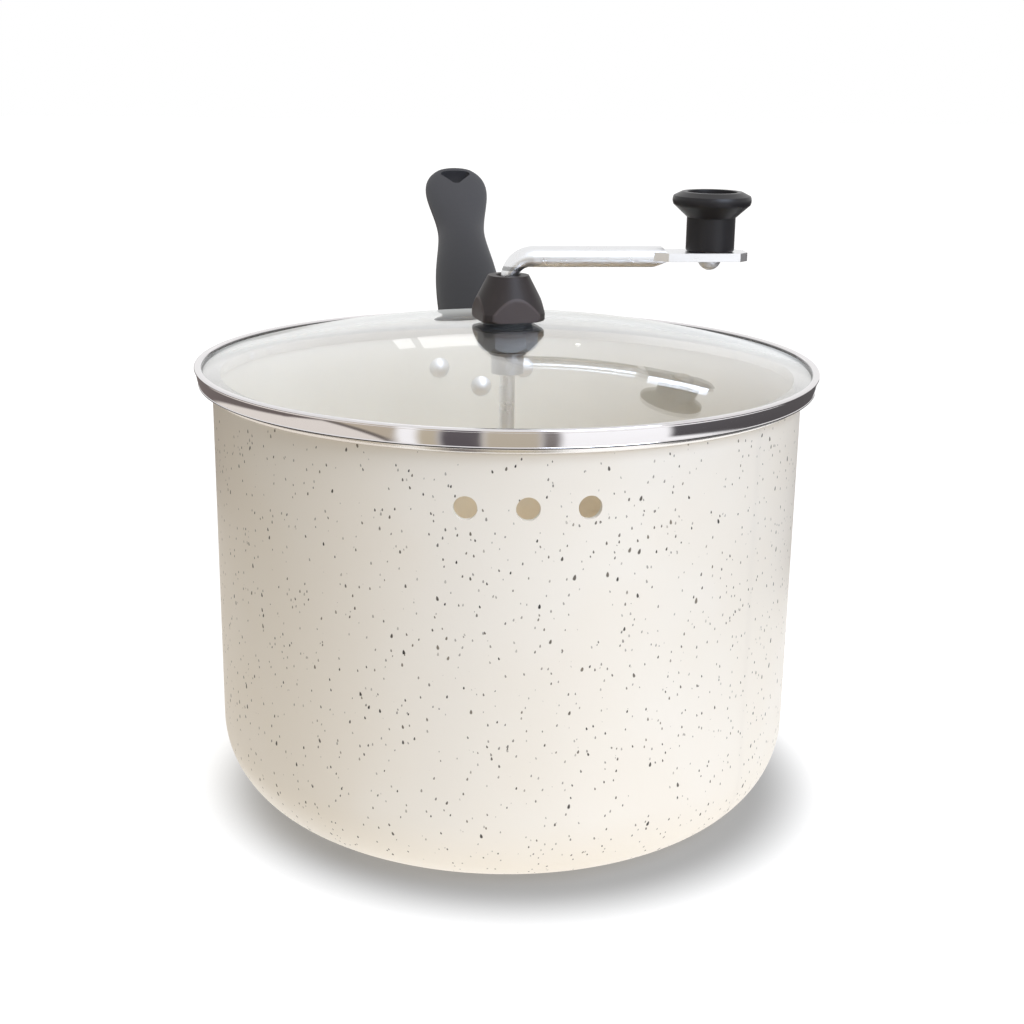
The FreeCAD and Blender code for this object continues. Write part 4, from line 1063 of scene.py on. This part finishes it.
class POPPER_OT_stage(PieceOperator, bpy.types.Operator):
    """Set up the pale floor, the soft light and the camera"""

    bl_idname = "popper.stage"
    bl_label = "Stage"

    def build(self, scene):
        self.backdrop(scene)
        for name, settings in LAMPS.items():
            soft_box(name, *settings)
        for name, ((left, out, foot), (right, _, top), strength) in WINDOWS.items():
            f = Finish(name)
            glow = f.done(f.node("ShaderNodeEmission", {"Strength": strength})[0])
            corners = (left, foot), (right, foot), (right, top), (left, top)
            flat_panel(name, [(x * MM, out * MM, z * MM) for x, z in corners], glow)
        self.camera(scene)
        scene.view_settings.view_transform = "Standard"

    def backdrop(self, scene):
        """Floor that the camera, metal and matt surfaces each see in their own light, and air."""
        f = Finish("studio_floor")
        path = f.node("ShaderNodeLightPath")
        from_pot = f.from_axis()
        # Painted shadow: the floor's glow for the camera is low under the pot and rises away from
        # it.
        seen = path["Is Camera Ray"] * (
            UNDER_POT + f.from_axis(SHADOW_SHIFT).smooth_step(*SHADOW_END) * OUT_OF_SHADOW)
        mirrored = path["Is Glossy Ray"]
        bounced = path["Is Diffuse Ray"] * (
            BOUNCE - from_pot.smooth_step(*BOUNCE_END) * BOUNCE_DROP)
        brightest = max(BOUNCE_TINT)
        lift = f.fade((seen + mirrored + bounced) / brightest, (0.0, 0.0, 0.0),
                      f.fade(path["Is Diffuse Ray"], (brightest,) * 3, BOUNCE_TINT))
        base = tuple(scene.popper_colours.floor)
        ahead = math.degrees(math.atan2(CAMERA_AT.x, -CAMERA_AT.y))
        turn = (f.x.turn_to(-f.y) * (180 / math.pi) - ahead + 180.0).left_over(360.0) - 180.0
        for low_turn, high_turn, begins, ends, levels in MIRRORED:
            into, out_of = (turn.smooth_step(edge - MIRRORED_SOFT, edge + MIRRORED_SOFT)
                            for edge in (low_turn, high_turn))
            near = begins + (turn - low_turn) * ((ends - begins) / (high_turn - low_turn))
            past = (from_pot / near).smooth_step(*MIRRORED_NEAR)
            shaded = into * (1.0 - out_of) * past * mirrored
            lift = f.fade(shaded, lift, scaled(srgb(*levels), MIRRORED_GAIN))
            base = f.fade(shaded, base, MIRRORED_BASE)
        material = f.done(f.surface(Base_Color=base, Roughness=0.9, Emission_Color=lift,
                                    Emission_Strength=1.0))
        flat_panel("studio_floor", [(x * FLOOR_REACH, y * FLOOR_REACH, FLOOR_LOW) for x, y in
                                    ((-1, -1), (1, -1), (1, 1), (-1, 1))], material)
        world = bpy.data.worlds.new("studio_air")
        world.use_nodes = True
        scene.world = world
        air = Tree(world.node_tree)
        world.node_tree.nodes.clear()
        path = air.node("ShaderNodeLightPath")
        looked_at = path["Is Camera Ray"].at_least(path["Is Glossy Ray"]).at_least(
            path["Is Transmission Ray"])
        glow = air.node("ShaderNodeBackground",
                        {"Color": air.fade(looked_at, SKY_TINT, (1.0, 1.0, 1.0)),
                         "Strength": SKY_LIGHT + looked_at * (1.0 - SKY_LIGHT)})[0]
        air.node("ShaderNodeOutputWorld", {"Surface": glow})

    def camera(self, scene):
        data = bpy.data.cameras.new("camera")
        data.lens, data.sensor_width, data.sensor_fit = CAMERA_LENS, SENSOR, "HORIZONTAL"
        data.clip_start, data.clip_end = 0.01, 50.0
        ahead = (CAMERA_AIM - CAMERA_AT).normalized()
        right = ahead.cross(Vector((0, 0, 1))).normalized()
        up = right.cross(ahead)
        cos, sin = math.cos(CAMERA_ROLL), math.sin(CAMERA_ROLL)
        side, top = right * cos + up * sin, up * cos - right * sin
        camera = scene_object("camera", data)
        turned = Matrix((side, top, -ahead)).transposed()
        camera.matrix_world = Matrix.Translation(CAMERA_AT) @ turned.to_4x4()
        scene.camera = camera


PIECE_OPERATORS = (
    POPPER_OT_pot_shell, POPPER_OT_long_handle, POPPER_OT_lid_glass, POPPER_OT_lid_band,
    POPPER_OT_lid_knob, POPPER_OT_lid_fittings, POPPER_OT_crank, POPPER_OT_stirrer,
    POPPER_OT_crank_grip, POPPER_OT_stage,
)


class POPPER_PT_panel(bpy.types.Panel):
    """Buttons for the popper's pieces and their sizes"""

    bl_idname = "POPPER_PT_panel"
    bl_label = "Popcorn Popper"
    bl_space_type = "VIEW_3D"
    bl_region_type = "UI"
    bl_category = "Popper"

    def draw(self, context):
        column = self.layout.column()
        for operator in PIECE_OPERATORS:
            column.operator(operator.bl_idname)
        for group_name, group in GROUPS.items():
            box = self.layout.box()
            for key in group.__annotations__:
                box.prop(getattr(context.scene, group_name), key)


CLASSES = (*GROUPS.values(), *PIECE_OPERATORS, POPPER_PT_panel)


def register():
    for cls in CLASSES:
        bpy.utils.register_class(cls)
    for group_name, group in GROUPS.items():
        setattr(bpy.types.Scene, group_name, PointerProperty(type=group))


def unregister():
    for group_name in GROUPS:
        delattr(bpy.types.Scene, group_name)
    for cls in reversed(CLASSES):
        bpy.utils.unregister_class(cls)


def main():
    register()
    for operator in PIECE_OPERATORS:
        group, name = operator.bl_idname.split(".")
        getattr(getattr(bpy.ops, group), name)()


if __name__ == "__main__":
    main()
